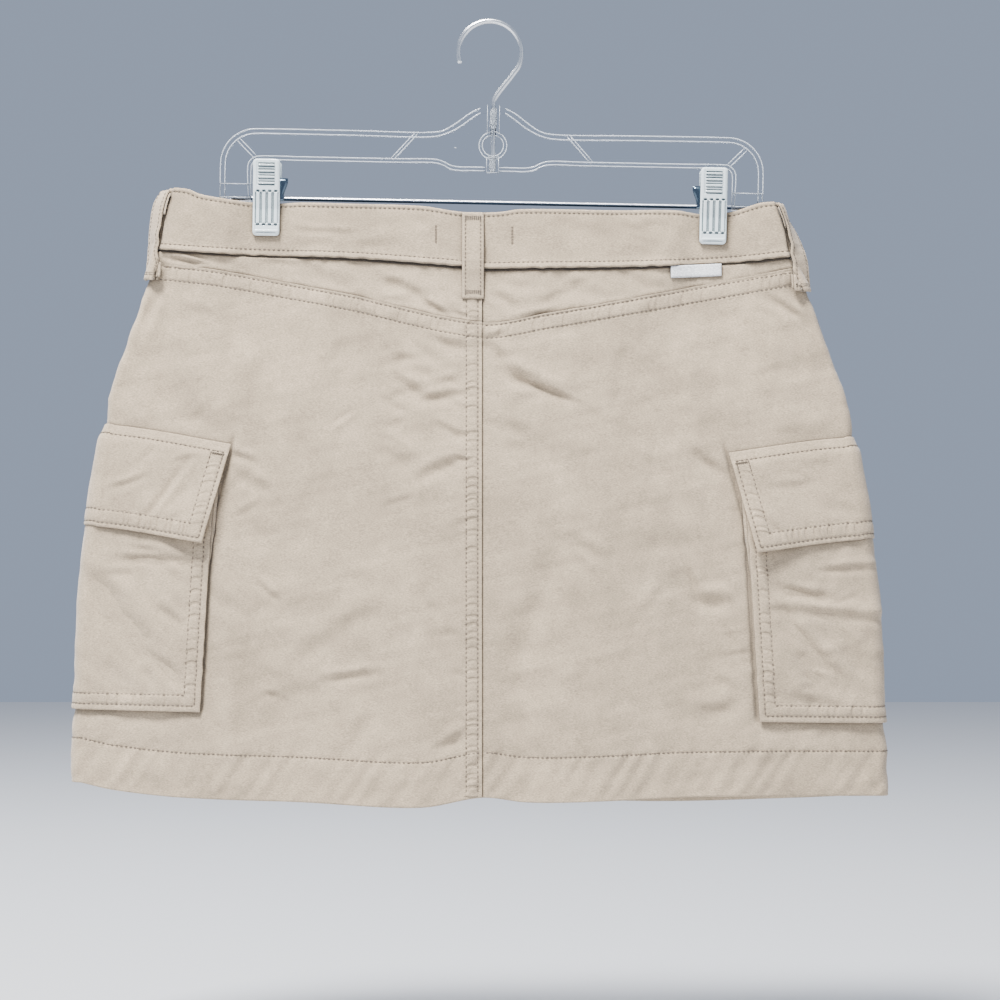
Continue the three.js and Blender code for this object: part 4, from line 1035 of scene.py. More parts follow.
def band_out(girth, h):
    x = skirt_x(girth, h)
    top, bottom = band_edges(girth)
    from_top = h - top
    from_seam = bottom - h
    on_back = (girth >= 0) & (girth <= 2)
    inside = smooth(0, 5, from_top) * smooth(0, 5, from_seam)
    free = 1 - smooth(0.2, 0.9, pinch(x, h))
    soft = np.where(on_back, creases(BAND_CREASES, x, h), 0) + 0.34 * crumple(x, 0.6 * h, 30, 31)
    soft += 0.12 * crumple(x, h, 10, 32)
    rows = np.exp(-((from_top - BAND_ROWS[0]) / 0.7) ** 2)
    rows = rows + np.exp(-((from_seam - BAND_ROWS[1]) / 0.7) ** 2)
    edge = 0.16 * wave(x, 6.4, 33) * np.exp(-from_top / 4)
    edge = edge + 0.22 * wave(x, 9.3, 34) * np.exp(-from_seam / 5)
    proud = BAND_PROUD * (1 - smooth(1, 6, from_seam))
    return BAND_OUT + (soft * inside + edge + proud) * free - 0.26 * rows + loop_press(girth, h)


def quarter_columns(count):
    return np.concatenate([np.linspace(0, FOLD_PART, 11)[:-1], np.linspace(FOLD_PART, 1, count)])


quarters = quarter_columns(230)
coarse = quarter_columns(80)
columns = np.concatenate([
    -coarse[::-1],
    quarters[1:],
    2 - quarters[::-1][1:],
    2 + coarse[1:],
    3 + np.linspace(0, UNDERLAP, 8)[1:],
])
top, bottom = band_edges(columns)
bottom = bottom + 0.5 * wave(skirt_x(columns, 35.0), 11.0, 35)
BAND_NEAR = [0, 0.35, 0.9, 1.6, 2.4, 3.2]
h = heights(top, bottom, BAND_NEAR, 16, [4.6, 3.8, 3, 2, 1, 0.4, 0])
girth = np.broadcast_to(columns, h.shape)
under = UNDERLAP_DROP * smooth(3 - 0.08, 3 - 0.01, girth)
rolled = 0.55 * np.exp(-((h - top) / 0.5) ** 2)
out = band_out(girth, h) - under
inner = wall(girth, h, BAND_OUT - BAND_THICK - under + rolled)
points, faces = shell(wall(girth, h, out - rolled), inner)
waistband = mesh_piece("waistband_strip", points, faces, stone_twill)
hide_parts("waistband")

rows = []
for low, high in ((-1 + 0.01, 0), (0, 1), (1, 2), (2, 3 - 0.05)):
    line = np.linspace(low, high, 150)
    top, bottom = band_edges(line)
    rows.append(seam_path(line, top + BAND_ROWS[0], band_out))
    rows.append(seam_path(line, bottom - BAND_ROWS[1], band_out))
sewn("waistband_stitching", rows)
tacks = []
for x in (-28.0, 21.5):
    for shift in (-0.35, 0.35):
        tacks.append(upright_row(-1, x + shift, np.arange(11, 24, 1.0), band_out))
sewn("waistband_tacks", tacks, pitch=2.0, shows=1.3, radius=0.17)

# Belt loops
# Strips of twill folded in three and sewn down both long edges, 14 mm wide. Each is turned
# under at both ends and tacked: over the waistband's top, and below its seam. The two at
# the sides stand off the folds and are seen turned away.
LOOP_WIDTH = 14.2
LOOP_THICK = 1.5
LAYER_GAP = 0.35
LOOP_ROWS = 2.2
LOOP_STANDS_OFF = 1.9
LOOP_GRID = (np.linspace(0, 1, 23), np.linspace(0, 1, 60))


def rounded_edge(place, size, thick):
    """How much a folded edge falls away: place runs from 0 to size."""
    near = np.minimum(place, size - place)
    return thick * 0.35 * np.exp(-near / 0.5)


def loop_relief(a, d, length):
    """Surface of a loop: sewn grooves near both edges and slight ripples between."""
    across = a * LOOP_WIDTH
    edge = np.minimum(across, LOOP_WIDTH - across)
    groove = -0.22 * np.exp(-((edge - LOOP_ROWS) / 0.6) ** 2)
    return groove + 0.1 * wave(d * length, 5.5, 41) - rounded_edge(across, LOOP_WIDTH, LOOP_THICK)


def flat_loop_seat(d, h, seam_h):
    on_band = BAND_OUT * (1 - smooth(seam_h + 1, seam_h + 8, h))
    return LAYER_GAP + on_band + 1.3 * np.sin(np.pi * d) ** 2


def flat_loop(name, node, face, x, top_h, bottom_h, seam_h):
    a, d = np.meshgrid(*LOOP_GRID)
    h = top_h + (bottom_h - top_h) * d
    girth = girth_at(face, x + (a - 0.5) * LOOP_WIDTH, h)
    seat = flat_loop_seat(d, h, seam_h)
    out = seat + LOOP_THICK + loop_relief(a, d, bottom_h - top_h)
    points, faces = shell(wall(girth, h, out), wall(girth, h, seat))
    loop = mesh_piece(name, points, faces, stone_twill)
    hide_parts(node)

    def loop_line(a, d):
        h = top_h + (bottom_h - top_h) * d
        girth = girth_at(face, x + (a - 0.5) * LOOP_WIDTH, h)
        out = flat_loop_seat(d, h, seam_h) + LOOP_THICK - 0.05
        return wall(girth, h, out), wall_normal(girth, h)

    run = np.linspace(0.03, 0.97, 40)
    rows = [loop_line(0 * run + a, run) for a in (LOOP_ROWS / LOOP_WIDTH, 1 - LOOP_ROWS / LOOP_WIDTH)]
    sewn(name + "_stitching", rows, pitch=2.6, shows=1.8, radius=0.26)
    bar = np.linspace(0.12, 0.88, 12)
    bars = [loop_line(bar, 0 * bar + d) for d in (0.05, 0.066, 0.082, 0.908, 0.924, 0.94)]
    sewn(name + "_bar_tacks", bars, pitch=1.2, shows=1.1, radius=0.36)


FRONT_LOOP = dict(face=1, top_h=6.0, bottom_h=62.0, seam_h=42.0)
flat_loop("back_belt_loop", "loop_back", face=-1, x=-3.9, top_h=2.6, bottom_h=59.0, seam_h=38.5)
flat_loop("front_belt_loop_left", "loop_front_left", x=-80.0, **FRONT_LOOP)
flat_loop("front_belt_loop_right", "loop_front_right", x=80.0, **FRONT_LOOP)


def side_loop_point(side, table, a, h):
    """The strap's inner face: flat between its two edges, but bent to clear the fold."""
    radius = fold_radius(h)
    centre = outline_half(h) - radius + side * outline_lean(h)
    clear = radius + LAYER_GAP + BAND_OUT + 0.8 * smooth(36, 48, h)
    back = curve(table, "h", "back")(h) + 0.7 * wave(h, 12.0, 42)
    turned = curve(table, "h", "outer")(h) - back
    depth = np.sqrt(LOOP_WIDTH**2 - turned**2)
    x = back + turned * a - centre
    y = -radius - 0.8 + depth * a
    far = np.hypot(x, y)
    push = np.where((x > 0) & (far < clear), clear / np.maximum(far, 0.1), 1.0)
    flat_y = np.sign(y) * np.maximum(np.abs(y), clear + LOOP_STANDS_OFF)
    y = np.where(x <= 0, flat_y, y * push)
    right = side * (x * push + centre) - SKIRT_SHIFT
    return np.stack([right, y, -WAIST_DROP - TILT * right - h], -1)


def side_loop_surface(side, table, a, d, out):
    h = table["h"][0] + (table["h"][-1] - table["h"][0]) * d
    along = side_loop_point(side, table, a + 0.05, h) - side_loop_point(side, table, a - 0.05, h)
    down = side_loop_point(side, table, a, h + 0.5) - side_loop_point(side, table, a, h - 0.5)
    normal = np.cross(along, down)
    normal /= np.linalg.norm(normal, axis=-1, keepdims=True)
    normal *= np.where(normal[..., :1] * side < 0, -1, 1)
    return side_loop_point(side, table, a, h) + normal * np.asarray(out)[..., None], normal


# The turned-under ends, which show beside the strap at its top and foot.
TURNED_ENDS = ((0.03, 0.27), (0.8, 0.97))
TURNED_SHOWS = (-0.13, 0.3)
for side, table, name in ((-1, LEFT_LOOP, "left"), (1, RIGHT_LOOP, "right")):
    a, d = np.meshgrid(*LOOP_GRID)
    outer, _ = side_loop_surface(side, table, a, d, LOOP_THICK + loop_relief(a, d, 58.0))
    inner, _ = side_loop_surface(side, table, a, d, 0 * a)
    parts = [shell(outer, inner)]
    for low, high in TURNED_ENDS:
        a, d = np.meshgrid(np.linspace(*TURNED_SHOWS, 9), np.linspace(low, high, 12))
        end_outer, _ = side_loop_surface(side, table, a, d, 0 * a - 0.1)
        end_inner, _ = side_loop_surface(side, table, a, d, 0 * a - 0.9)
        parts.append(shell(end_outer, end_inner))
    points, faces = joined(*parts)
    loop = mesh_piece(f"side_belt_loop_{name}", points, faces, stone_twill)
    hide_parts(f"loop_side_{name}")
    run = np.linspace(0.03, 0.97, 40)
    rows = []
    for place in (LOOP_ROWS / LOOP_WIDTH, 1 - LOOP_ROWS / LOOP_WIDTH):
        rows.append(side_loop_surface(side, table, 0 * run + place, run, 0 * run + LOOP_THICK - 0.05))
    sewn(f"side_belt_loop_{name}_stitching", rows, pitch=2.6, shows=1.8, radius=0.26)
    bar = np.linspace(0.12, 0.88, 12)
    bars = []
    for place in (0.92, 0.94):
        bars.append(side_loop_surface(side, table, bar, 0 * bar + place, 0 * bar + LOOP_THICK - 0.05))
    sewn(f"side_belt_loop_{name}_bar_tacks", bars, pitch=1.2, shows=1.1, radius=0.36)

# Cargo pockets
# A square-cornered patch wrapped round each side fold, sewn with two rows down its sides and
# bottom onto a bellows strip. The strip is folded flat beneath and shows a little at the
# back edge near the top.
GUSSET_SEAT = 0.5
POCKET_SEAT = 1.85
FLAP_SEAT = 3.2
CAD_CLOTH = 1.0
POCKET_ROWS = (3.9, 10.7)
POCKET_UNDER_FLAP = 15.0
POCKET_SOFTNESS = 1.5
FLAP_TOP = dict(c=[0, 1, 2], h=[144, 144.5, 155.5])
FLAP_BOTTOM = dict(c=[0, 1, 2], h=[210, 210.5, 220])
LEFT_POCKET_CREASES = [
    dict(x0=-248, h0=242, x1=-212, h1=286, wide=11, deep=1.3),
    dict(x0=-230, h0=229, x1=-192, h1=231, wide=4, deep=0.8),
    dict(x0=-222, h0=222, x1=-200, h1=226, wide=3, deep=0.5),
    dict(x0=-209, h0=293, x1=-190, h1=308, wide=6, deep=0.9),
    dict(x0=-240, h0=300, x1=-222, h1=312, wide=7, deep=0.5),
    dict(x0=-206, h0=262, x1=-192, h1=270, wide=4, deep=0.5),
]
RIGHT_POCKET_CREASES = [
    dict(x0=197, h0=240, x1=224, h1=247, wide=4.5, deep=1.0),
    dict(x0=224, h0=229, x1=254, h1=228, wide=3.5, deep=0.7),
    dict(x0=194, h0=256, x1=258, h1=259, wide=5, deep=0.9),
    dict(x0=204, h0=264, x1=232, h1=294, wide=5, deep=1.0),
    dict(x0=194, h0=270, x1=214, h1=304, wide=9, deep=-0.8),
    dict(x0=236, h0=270, x1=252, h1=290, wide=6, deep=0.5),
    dict(x0=204, h0=312, x1=236, h1=318, wide=5, deep=0.5),
]
LEFT_FLAP_CREASES = [
    dict(x0=-188, h0=172, x1=-213, h1=203, wide=3.4, deep=1.0),
    dict(x0=-236, h0=183, x1=-217, h1=177, wide=3, deep=0.8),
    dict(x0=-196, h0=166, x1=-182, h1=164, wide=3, deep=0.4),
]
RIGHT_FLAP_CREASES = [
    dict(x0=181, h0=190, x1=194, h1=207, wide=3.4, deep=0.8),
    dict(x0=188, h0=176, x1=214, h1=172, wide=4, deep=0.5),
    dict(x0=214, h0=186, x1=246, h1=192, wide=7, deep=0.5),
]
LEFT_POCKET_CREASES += small_creases((-250, -196), (222, 318), 10, 93, spread=50)
RIGHT_POCKET_CREASES += small_creases((196, 246), (222, 318), 12, 94, spread=30)
LEFT_FLAP_CREASES += small_creases((-236, -190), (160, 204), 5, 95, angle=-30)
RIGHT_FLAP_CREASES += small_creases((186, 236), (160, 204), 5, 96, angle=20)
flap_top = curve(FLAP_TOP, "c", "h")
flap_bottom = curve(FLAP_BOTTOM, "c", "h")


def wrap_girth(side, c, h, edge):
    """Girth of a wrap place c: -2 the back edge, -1 to 1 the round fold, 2 the front edge."""
    far = np.abs(c)
    edge_q = girth_at(-1, -edge(h), h)
    q = np.where(far > 1, FOLD_PART + (far - 1) * (edge_q - FOLD_PART), FOLD_PART * far)
    from_fold = np.where(c < 0, q, -q)
    return from_fold if side < 0 else 2 - from_fold


def from_wrap_edge(c, h, edge):
    """Distance in from the nearer upright edge of a wrapped piece, in millimetres."""
    flat = panel_reach(h) - edge(h)
    return np.where(np.abs(c) > 1, (2 - np.abs(c)) * flat, flat + (1 - np.abs(c)) * 9)


def double_rows(edge, rows, along, seed, rippled):
    """Two sewn rows by an edge, grooved, with cross ripples between and beside them."""
    first, last = rows
    groove = -0.3 * (np.exp(-((edge - first) / 0.8) ** 2) + np.exp(-((edge - last) / 0.8) ** 2))
    between = np.clip(1 - ((edge - (first + last) / 2) / ((last - first) / 2)) ** 2, 0, 1)
    beside = smooth(0, first, edge) * (1 - smooth(last, last + 9, edge))
    ripple = puckers(along + 0.15 * edge, 6.4, seed) * (0.55 * between**0.7 + 0.12 * beside)
    return groove + 0.15 * between + ripple * rippled + 0.3 * wave(along, 14.0, seed + 3) * beside


def pocket_out(side, c, h):
    girth = wrap_girth(side, c, h, pocket_edge)
    x = skirt_x(girth, h)
    by_side = from_wrap_edge(c, h, pocket_edge)
    by_bottom = POCKET_BOTTOM - h
    lines = LEFT_POCKET_CREASES if side < 0 else RIGHT_POCKET_CREASES
    facing = np.where(c < 0, 1.0, 0.6)
    inside = smooth(3, 14, by_side) * smooth(3, 14, by_bottom)
    soft = creases(lines, x, h) * facing * (1 - smooth(-0.6, 0.4, c) * 0.9)
    soft = soft + 0.4 * crumple(x * np.sign(-c + 0.01), h, 26, 51 + side) + 0.16 * crumple(x, h, 11, 53)
    upright = (by_side < by_bottom) & (np.abs(c) > 1)
    edge = np.where(upright, by_side, by_bottom)
    along = np.where(upright, h, x)
    out = POCKET_SEAT + CAD_CLOTH - 0.08 + soft * inside * POCKET_SOFTNESS
    return out + double_rows(edge, POCKET_ROWS, along, 54, c > 0)


def wrap_line(side, c, h, edge, out_of):
    """A line on a wrapped piece for stitches to follow, just proud of its face."""
    girth = wrap_girth(side, c, h, edge)
    return wall(girth, h, out_of(side, c, h) + 0.2), wall_normal(girth, h)


def wrap_columns(flat_count, edge_part):
    edge = 2 - np.array(edge_part)
    flat = np.linspace(1, edge[0], flat_count)[:-1]
    arm = np.concatenate([flat, edge])
    return np.concatenate([-arm[::-1], np.linspace(-1, 1, 25)[1:-1], arm])


POCKET_PUCKER_PITCH = 7.6
POCKET_STRIP_TOP = 163.0
POCKET_REACH = 76.0


def corner_strips(side, edge, out_of, bottom_of, top_h, reach, rows, pitch, seed):
    """Fine strips up the back edge and along the bottom of a wrapped piece."""
    h, s = np.meshgrid(np.arange(top_h, float(bottom_of(2.0)), STRIP_STEP), STRIP_COLUMNS, indexing="ij")
    c = s / (panel_reach(h) - edge(h)) - 2
    h = np.minimum(h, bottom_of(np.abs(c)) - 0.4)
    girth = wrap_girth(side, c, h, edge)
    ends = (top_h - 1, float(bottom_of(2.0)) - rows[1] + 1)
    upright = edge_strip(girth, h, out_of(side, c, h), s, h, ends, seed, rows, pitch)
    count = int(reach / STRIP_STEP)
    c, s = np.meshgrid(np.linspace(rows[1] / reach - 2, -1.02, count), STRIP_COLUMNS, indexing="ij")
    h = bottom_of(np.abs(c)) - s
    girth = wrap_girth(side, c, h, edge)
    along = (c + 2) * reach
    ends = (rows[1], reach - 1)
    level = edge_strip(girth, h, out_of(side, c, h), s, along, ends, seed + 1, rows, pitch)
    return upright, level


def pocket_bottom(c):
    return POCKET_BOTTOM + 0 * c


# Columns and rows of a wrapped piece, in millimetres in from its edge.
EDGE_MM = [16, 14.4, 12.8, 11.6, 10.7, 9.8, 8.6, 7.3, 6, 4.8, 3.9, 3, 2, 1, 0.4, 0]
for side, name in SIDES:
    columns = wrap_columns(52, [mm / POCKET_REACH for mm in EDGE_MM])
    top = flap_top(np.abs(columns)) + POCKET_UNDER_FLAP
    h = heights(top, 0 * top + POCKET_BOTTOM, [0, 0.5, 1.5], 124, EDGE_MM)
    c = np.broadcast_to(columns, h.shape)
    girth = wrap_girth(side, c, h, pocket_edge)
    out = pocket_out(side, c, h)
    turned = 0.3 * np.exp(-from_wrap_edge(c, h, pocket_edge) / 0.5)
    turned = turned + 0.3 * np.exp((h - POCKET_BOTTOM) / 0.5)
    patch = shell(wall(girth, h, out - turned), wall(girth, h, 0 * out + POCKET_SEAT - 0.05))
    strips = corner_strips(
        side, pocket_edge, pocket_out, pocket_bottom, POCKET_STRIP_TOP, POCKET_REACH,
        POCKET_ROWS, POCKET_PUCKER_PITCH, 54 + side)
    points, faces = joined(patch, *strips)
    pocket = mesh_piece(f"cargo_pocket_{name}", points, faces, stone_twill)
    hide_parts(f"pocket_{name}")
    rows = []
    for inset in POCKET_ROWS:
        line = np.arange(POCKET_STRIP_TOP, POCKET_BOTTOM - inset, PATH_STEP)

        def inset_edge(h, inset=inset):
            return pocket_edge(h) + inset

        for sign in (-2.0, 2.0):
            girth = wrap_girth(side, sign + 0 * line, line, inset_edge)
            c = np.sign(sign) * (2 - inset / (panel_reach(line) - pocket_edge(line)))
            rows.append((wall(girth, line, pocket_out(side, c, line) + 0.2), wall_normal(girth, line)))
        limit = 2 - inset / POCKET_REACH
        c = np.linspace(-limit, limit, 160)
        rows.append(wrap_line(side, c, pocket_bottom(c) - inset, pocket_edge, pocket_out))
    sewn(f"cargo_pocket_{name}_stitching", rows)

GUSSET_WIDE = 14.0
GUSSET_SHOWS = 2.4
GUSSET_INSET = 0.8
GUSSET_TOP = 172.0


def gusset_edge(h):
    return pocket_edge(h) + GUSSET_INSET - (GUSSET_SHOWS + GUSSET_INSET) * (1 - smooth(200, 256, h))


for side, name in SIDES:
    low = POCKET_BOTTOM - GUSSET_INSET
    leg_h = np.linspace(GUSSET_TOP, low - GUSSET_WIDE, 70)
    floor_c = wrap_columns(20, [0.25])
    part = np.linspace(0, 1, 7)[:, None]
    places = []
    for sign in (-1.0, 1.0):
        order = slice(None) if sign < 0 else slice(None, None, -1)
        corner = np.where(leg_h[order] == leg_h[-1], low - leg_h[-1], 0)
        line = leg_h[order][None] + corner[None] * (1 - part)
        edge = gusset_edge(line) * (1 - part) + (gusset_edge(line) + GUSSET_WIDE) * part
        flat = panel_reach(line) - edge
        q = FOLD_PART + (1 - FOLD_PART) * flat / (panel_reach(line) + BACK_SEAM_X)
        places.append((np.where(sign < 0, q, -q), line))
    floor_h = low - GUSSET_WIDE * part + 0 * floor_c[None]
    floor_girth = wrap_girth(-1, np.broadcast_to(floor_c, floor_h.shape), floor_h, pocket_edge)
    across = np.concatenate([places[0][0], floor_girth, places[1][0]], 1)
    line = np.concatenate([places[0][1], floor_h, places[1][1]], 1)
    girth = across if side < 0 else 2 - across
    out = GUSSET_SEAT + CAD_CLOTH - 0.15
    out = out + 0.1 * wave(line, 9, 56) - 0.35 * np.exp(-part / 0.08)
    points, faces = shell(wall(girth, line, out), wall(girth, line, 0 * out + GUSSET_SEAT))
    gusset = mesh_piece(f"pocket_bellows_{name}", points, faces, stone_twill)
    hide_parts(f"gusset_{name}")

# Pocket flaps
# Two layers sewn and turned, pressed flat: a single row holds the top to the panel, and
# two rows run down the sides and along the bottom, with a tack in each top corner. The
# flap steps over the pocket's mouth and lifts a little towards its lower edge.
FLAP_STEP = 11.0
FLAP_LIFT = 1.6
CORNER_LIFT = 4.4
FLAP_THICK = 1.05
TOP_SEAT = 0.5
FLAP_ROWS = (3.0, 11.2)
FLAP_TOP_ROW = 6.0
FLAP_PUCKER_PITCH = 5.2
FLAP_STRIP_TOP = 165.0
FLAP_REACH = 82.0
FLAP_NEAR_TOP = [0, 0.4, 1, 2, 3.2, 4.6, 5.4, 6, 6.6, 7.6, 9, 10.5]


def flap_out(side, c, h):
    far = np.abs(c)
    top = flap_top(far)
    bottom = flap_bottom(far)
    d = (h - top) / (bottom - top)
    up = smooth(0, 1, (h - top) / FLAP_STEP)
    lift = FLAP_LIFT * smooth(0.3, 1, d) * smooth(0.6, 2, far)
    lift += np.where(c < 0, CORNER_LIFT * smooth(0.03, 0.8, d) * smooth(1.5, 2, far), 0)
    seat = TOP_SEAT + (FLAP_SEAT - TOP_SEAT) * up + lift
    girth = wrap_girth(side, c, h, flap_edge)
    x = skirt_x(girth, h)
    by_side = from_wrap_edge(c, h, flap_edge)
    by_bottom = bottom - h
    by_top = h - top
    lines = LEFT_FLAP_CREASES if side < 0 else RIGHT_FLAP_CREASES
    inside = smooth(4, 14, by_side) * smooth(4, 14, by_bottom) * smooth(4, 12, by_top)
    soft = creases(lines, x, h) * (1 - smooth(-0.6, 0.4, c) * 0.9)
    soft = soft + 0.24 * crumple(x * np.sign(-c + 0.01), h, 26, 61 + side) + 0.08 * crumple(x, h, 11, 63)
    upright = (by_side < by_bottom) & (np.abs(c) > 1)
    edge = np.where(upright, by_side, by_bottom)
    along = np.where(upright, h, x)
    rows = double_rows(edge, FLAP_ROWS, along, 64, c > 0) * smooth(2, 8, by_top)
    top_row = -0.25 * np.exp(-((by_top - FLAP_TOP_ROW) / 0.8) ** 2)
    top_row += 0.14 * wave(x, 7.0, 65) * (1 - smooth(1, 12, by_top))
    return seat + CAD_CLOTH + soft * inside + rows + top_row


def flap_line(side, c, h):
    return wrap_line(side, c, h, flap_edge, flap_out)


for side, name in SIDES:
    columns = wrap_columns(56, [mm / FLAP_REACH for mm in EDGE_MM])
    top = flap_top(np.abs(columns))
    bottom = flap_bottom(np.abs(columns))
    h = heights(top, bottom, FLAP_NEAR_TOP, 34, EDGE_MM)
    c = np.broadcast_to(columns, h.shape)
    girth = wrap_girth(side, c, h, flap_edge)
    out = flap_out(side, c, h)
    nearest = np.minimum(from_wrap_edge(c, h, flap_edge), np.minimum(bottom - h, h - top))
    turned = 0.4 * np.exp(-nearest / 0.6)
    patch = shell(wall(girth, h, out - turned), wall(girth, h, out - FLAP_THICK + 0.3 * turned))
    strips = corner_strips(
        side, flap_edge, flap_out, flap_bottom, FLAP_STRIP_TOP, FLAP_REACH,
        FLAP_ROWS, FLAP_PUCKER_PITCH, 64 + side)
    points, faces = joined(patch, *strips)
    flap = mesh_piece(f"pocket_flap_{name}", points, faces, stone_twill)
    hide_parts(f"flap_{name}")
    rows = []
    c = np.linspace(-1.97, 1.97, 170)
    rows.append(flap_line(side, c, flap_top(np.abs(c)) + FLAP_TOP_ROW))
    for inset in FLAP_ROWS:
        limit = 2 - inset / 80
        c = np.linspace(-limit, limit, 170)
        rows.append(flap_line(side, c, flap_bottom(np.abs(c)) - inset))
        for sign in (-1.0, 1.0):
            low = float(flap_bottom(limit)) - inset
            line = np.arange(flap_top(limit) + FLAP_TOP_ROW, low, PATH_STEP)
            flat = panel_reach(line) - flap_edge(line)
            rows.append(flap_line(side, sign * (2 - inset / flat), line))
    sewn(f"pocket_flap_{name}_stitching", rows)
    tacks = []
    for sign in (-1.0, 1.0):
        for drop in (0.0, 0.6):
            c = sign * np.linspace(2 - 11.5 / 84, 2 - 2.5 / 84, 8)
            tacks.append(flap_line(side, c, flap_top(np.abs(c)) + FLAP_TOP_ROW + 1.4 + drop))
    sewn(f"pocket_flap_{name}_tacks", tacks, pitch=1.3, shows=1.1, radius=0.26)

# Side tab
# A short length of plain white woven ribbon, folded and caught in the waistband's seam so
# that its lower half hangs over the yoke. It is blank.
TAB_LEFT = 124.0
TAB_RIGHT = 157.3
TAB_DROP = 7.8
TAB_SEAT = 0.5
TAB_THICK = 0.95
white_ribbon = twill("white woven ribbon", (0.86, 0.86, 0.86), sheen=0.1)
x, d = np.meshgrid(np.linspace(TAB_LEFT, TAB_RIGHT, 46), np.linspace(0, 1, 16))
h = back_band_seam(x / outline_half(36.0)) - 0.3 + (TAB_DROP + 0.3) * d
girth = girth_at(-1, x, h)
out = TAB_SEAT + TAB_THICK + 0.35 * smooth(0.2, 1, d) * (0.5 + 0.5 * np.sin(x / 9))
out = out - 0.3 * smooth(0.85, 1, d)
points, faces = shell(wall(girth, h, out), wall(girth, h, out - 0.8))
tab = mesh_piece("side_tab_ribbon", points, faces, white_ribbon)
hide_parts("side_tab")

# Waist button
# A turned metal jeans button, riveted through the outer end of the waistband at the centre
# front. Its rounded rim stands up round a dished face with a low boss in the middle.
BUTTON_X = -12.0
BUTTON_H = 27.0
BUTTON_PROFILE = [
    (0, 0), (6, 0), (7.9, 0.5), (8.45, 1.2), (8.4, 1.9), (7.7, 2.45),
    (6.6, 2.45), (5.7, 1.95), (5.2, 1.75), (2.4, 1.75), (1.8, 2.1), (0, 2.2),
]


def metal(name, tone, roughness):
    material, surface = new_material(name)
    surface.inputs["Base Color"].default_value = (*tone, 1)
    surface.inputs["Metallic"].default_value = 1
    uneven = ranged(material, patches(material, 260), 0, 1, roughness * 0.8, roughness * 1.25)
    material.node_tree.links.new(uneven, surface.inputs["Roughness"])
    return material


def turned_piece(profile, sides, centre, axis):
    """Points and faces of a turned solid whose profile is (radius, height) up its axis."""
    axis = axis / np.linalg.norm(axis)
    side = np.cross(axis, [0, 0, 1.0])
    side /= np.linalg.norm(side)
    other = np.cross(axis, side)
    angles = np.arange(sides) * 2 * np.pi / sides
    points = [centre + axis * profile[0][1]]
    for r, z in profile[1:-1]:
        ring = np.cos(angles)[:, None] * side + np.sin(angles)[:, None] * other
        points.extend(centre + axis * z + ring * r)
    points.append(centre + axis * profile[-1][1])
    faces = []
    rings = len(profile) - 2
    for k in range(sides):
        k2 = (k + 1) % sides
        faces.append((0, 1 + k2, 1 + k, 1 + k))
        for j in range(rings - 1):
            a = 1 + j * sides
            faces.append((a + k, a + k2, a + sides + k2, a + sides + k))
        a = 1 + (rings - 1) * sides
        faces.append((a + k, a + k2, len(points) - 1, len(points) - 1))
    return np.array(points), [tuple(dict.fromkeys(face)) for face in faces]


antique = metal("satin button metal", (0.33, 0.31, 0.28), 0.35)
girth = girth_at(1, np.array(BUTTON_X), np.array(BUTTON_H))
seat = wall(girth, BUTTON_H, BAND_OUT + 0.35)
axis = wall_normal(girth, np.array(BUTTON_H))
points, faces = turned_piece(BUTTON_PROFILE, 48, seat, axis)
button = mesh_piece("waist_button_cap", points, faces, antique)
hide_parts("waist_button")

# Hanger frame
# A clear moulded frame: a thin web with deeper ribs round every edge, diagonal ribs, a ring
# where the hook's stem passes, and a foot at each end that holds the rod.
HANGER_X = 0.8
ROD_Z = 4.4 - WAIST_DROP
HANGER_TURN = 0.0192


def to_hanger(u, y, v):
    """A place on the hanger's drawing, u across and v up from the rod, in the row frame."""
    c = math.cos(HANGER_TURN)
    s = math.sin(HANGER_TURN)
    u, y, v = np.broadcast_arrays(u, y, v)
    return np.stack([HANGER_X + u * c + v * s, y, ROD_Z - u * s + v * c], -1)


def clear_plastic(name, tone, clear, roughness):
    material, surface = new_material(name)
    surface.inputs["Base Color"].default_value = (*tone, 1)
    surface.inputs["Transmission Weight"].default_value = clear
    surface.inputs["IOR"].default_value = 1.49
    uneven = ranged(material, patches(material, 60), 0, 1, roughness * 0.6, roughness * 1.4)
    material.node_tree.links.new(uneven, surface.inputs["Roughness"])
    return material


def dress_node(node, material, edge):
    """Shows a hard CAD node with its material and softened edges."""
    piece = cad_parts[node]
    piece.data.materials.clear()
    piece.data.materials.append(material)
    soften = piece.modifiers.new("softened edges", "BEVEL")
    soften.width = edge * MM
    soften.segments = 2
    soften.limit_method = "ANGLE"
    soften.angle_limit = math.radians(35)
    return piece


clear_moulding = clear_plastic("clear moulded plastic", (0.98, 0.99, 1.0), 1.0, 0.03)
# Painted highlight: a whitish, half-clear material for the frame's rib edges and stem sleeves, standing in
# for the glints of the clear moulding.
painted_glint_moulding = clear_plastic("moulded edge with painted glint", (0.9, 0.95, 1.0), 0.4, 0.15)
dress_node("hanger_frame", clear_moulding, 0.3)


def wire(line, radius, sides, ends=0.55):
    """Points and faces of a round wire along a line in a plane of constant y."""
    line = np.asarray(line, float)
    ahead = np.gradient(line, axis=0)
    ahead /= np.linalg.norm(ahead, axis=1, keepdims=True)
    across = np.tile([0.0, 1.0, 0.0], (len(line), 1))
    up = np.cross(ahead, across)
    angles = np.arange(sides) * 2 * np.pi / sides
    size = np.full(len(line), radius)
    size[[0, -1]] = radius * ends
    ring = np.cos(angles)[None, :, None] * across[:, None] + np.sin(angles)[None, :, None] * up[:, None]
    points = (line[:, None] + ring * size[:, None, None]).reshape(-1, 3)
    faces = []
    for j in range(len(line) - 1):
        for k in range(sides):
            k2 = (k + 1) % sides
            faces.append((j * sides + k, j * sides + k2, (j + 1) * sides + k2, (j + 1) * sides + k))
    faces.append(tuple(range(sides))[::-1])
    faces.append(tuple((len(line) - 1) * sides + k for k in range(sides)))
    return points, faces


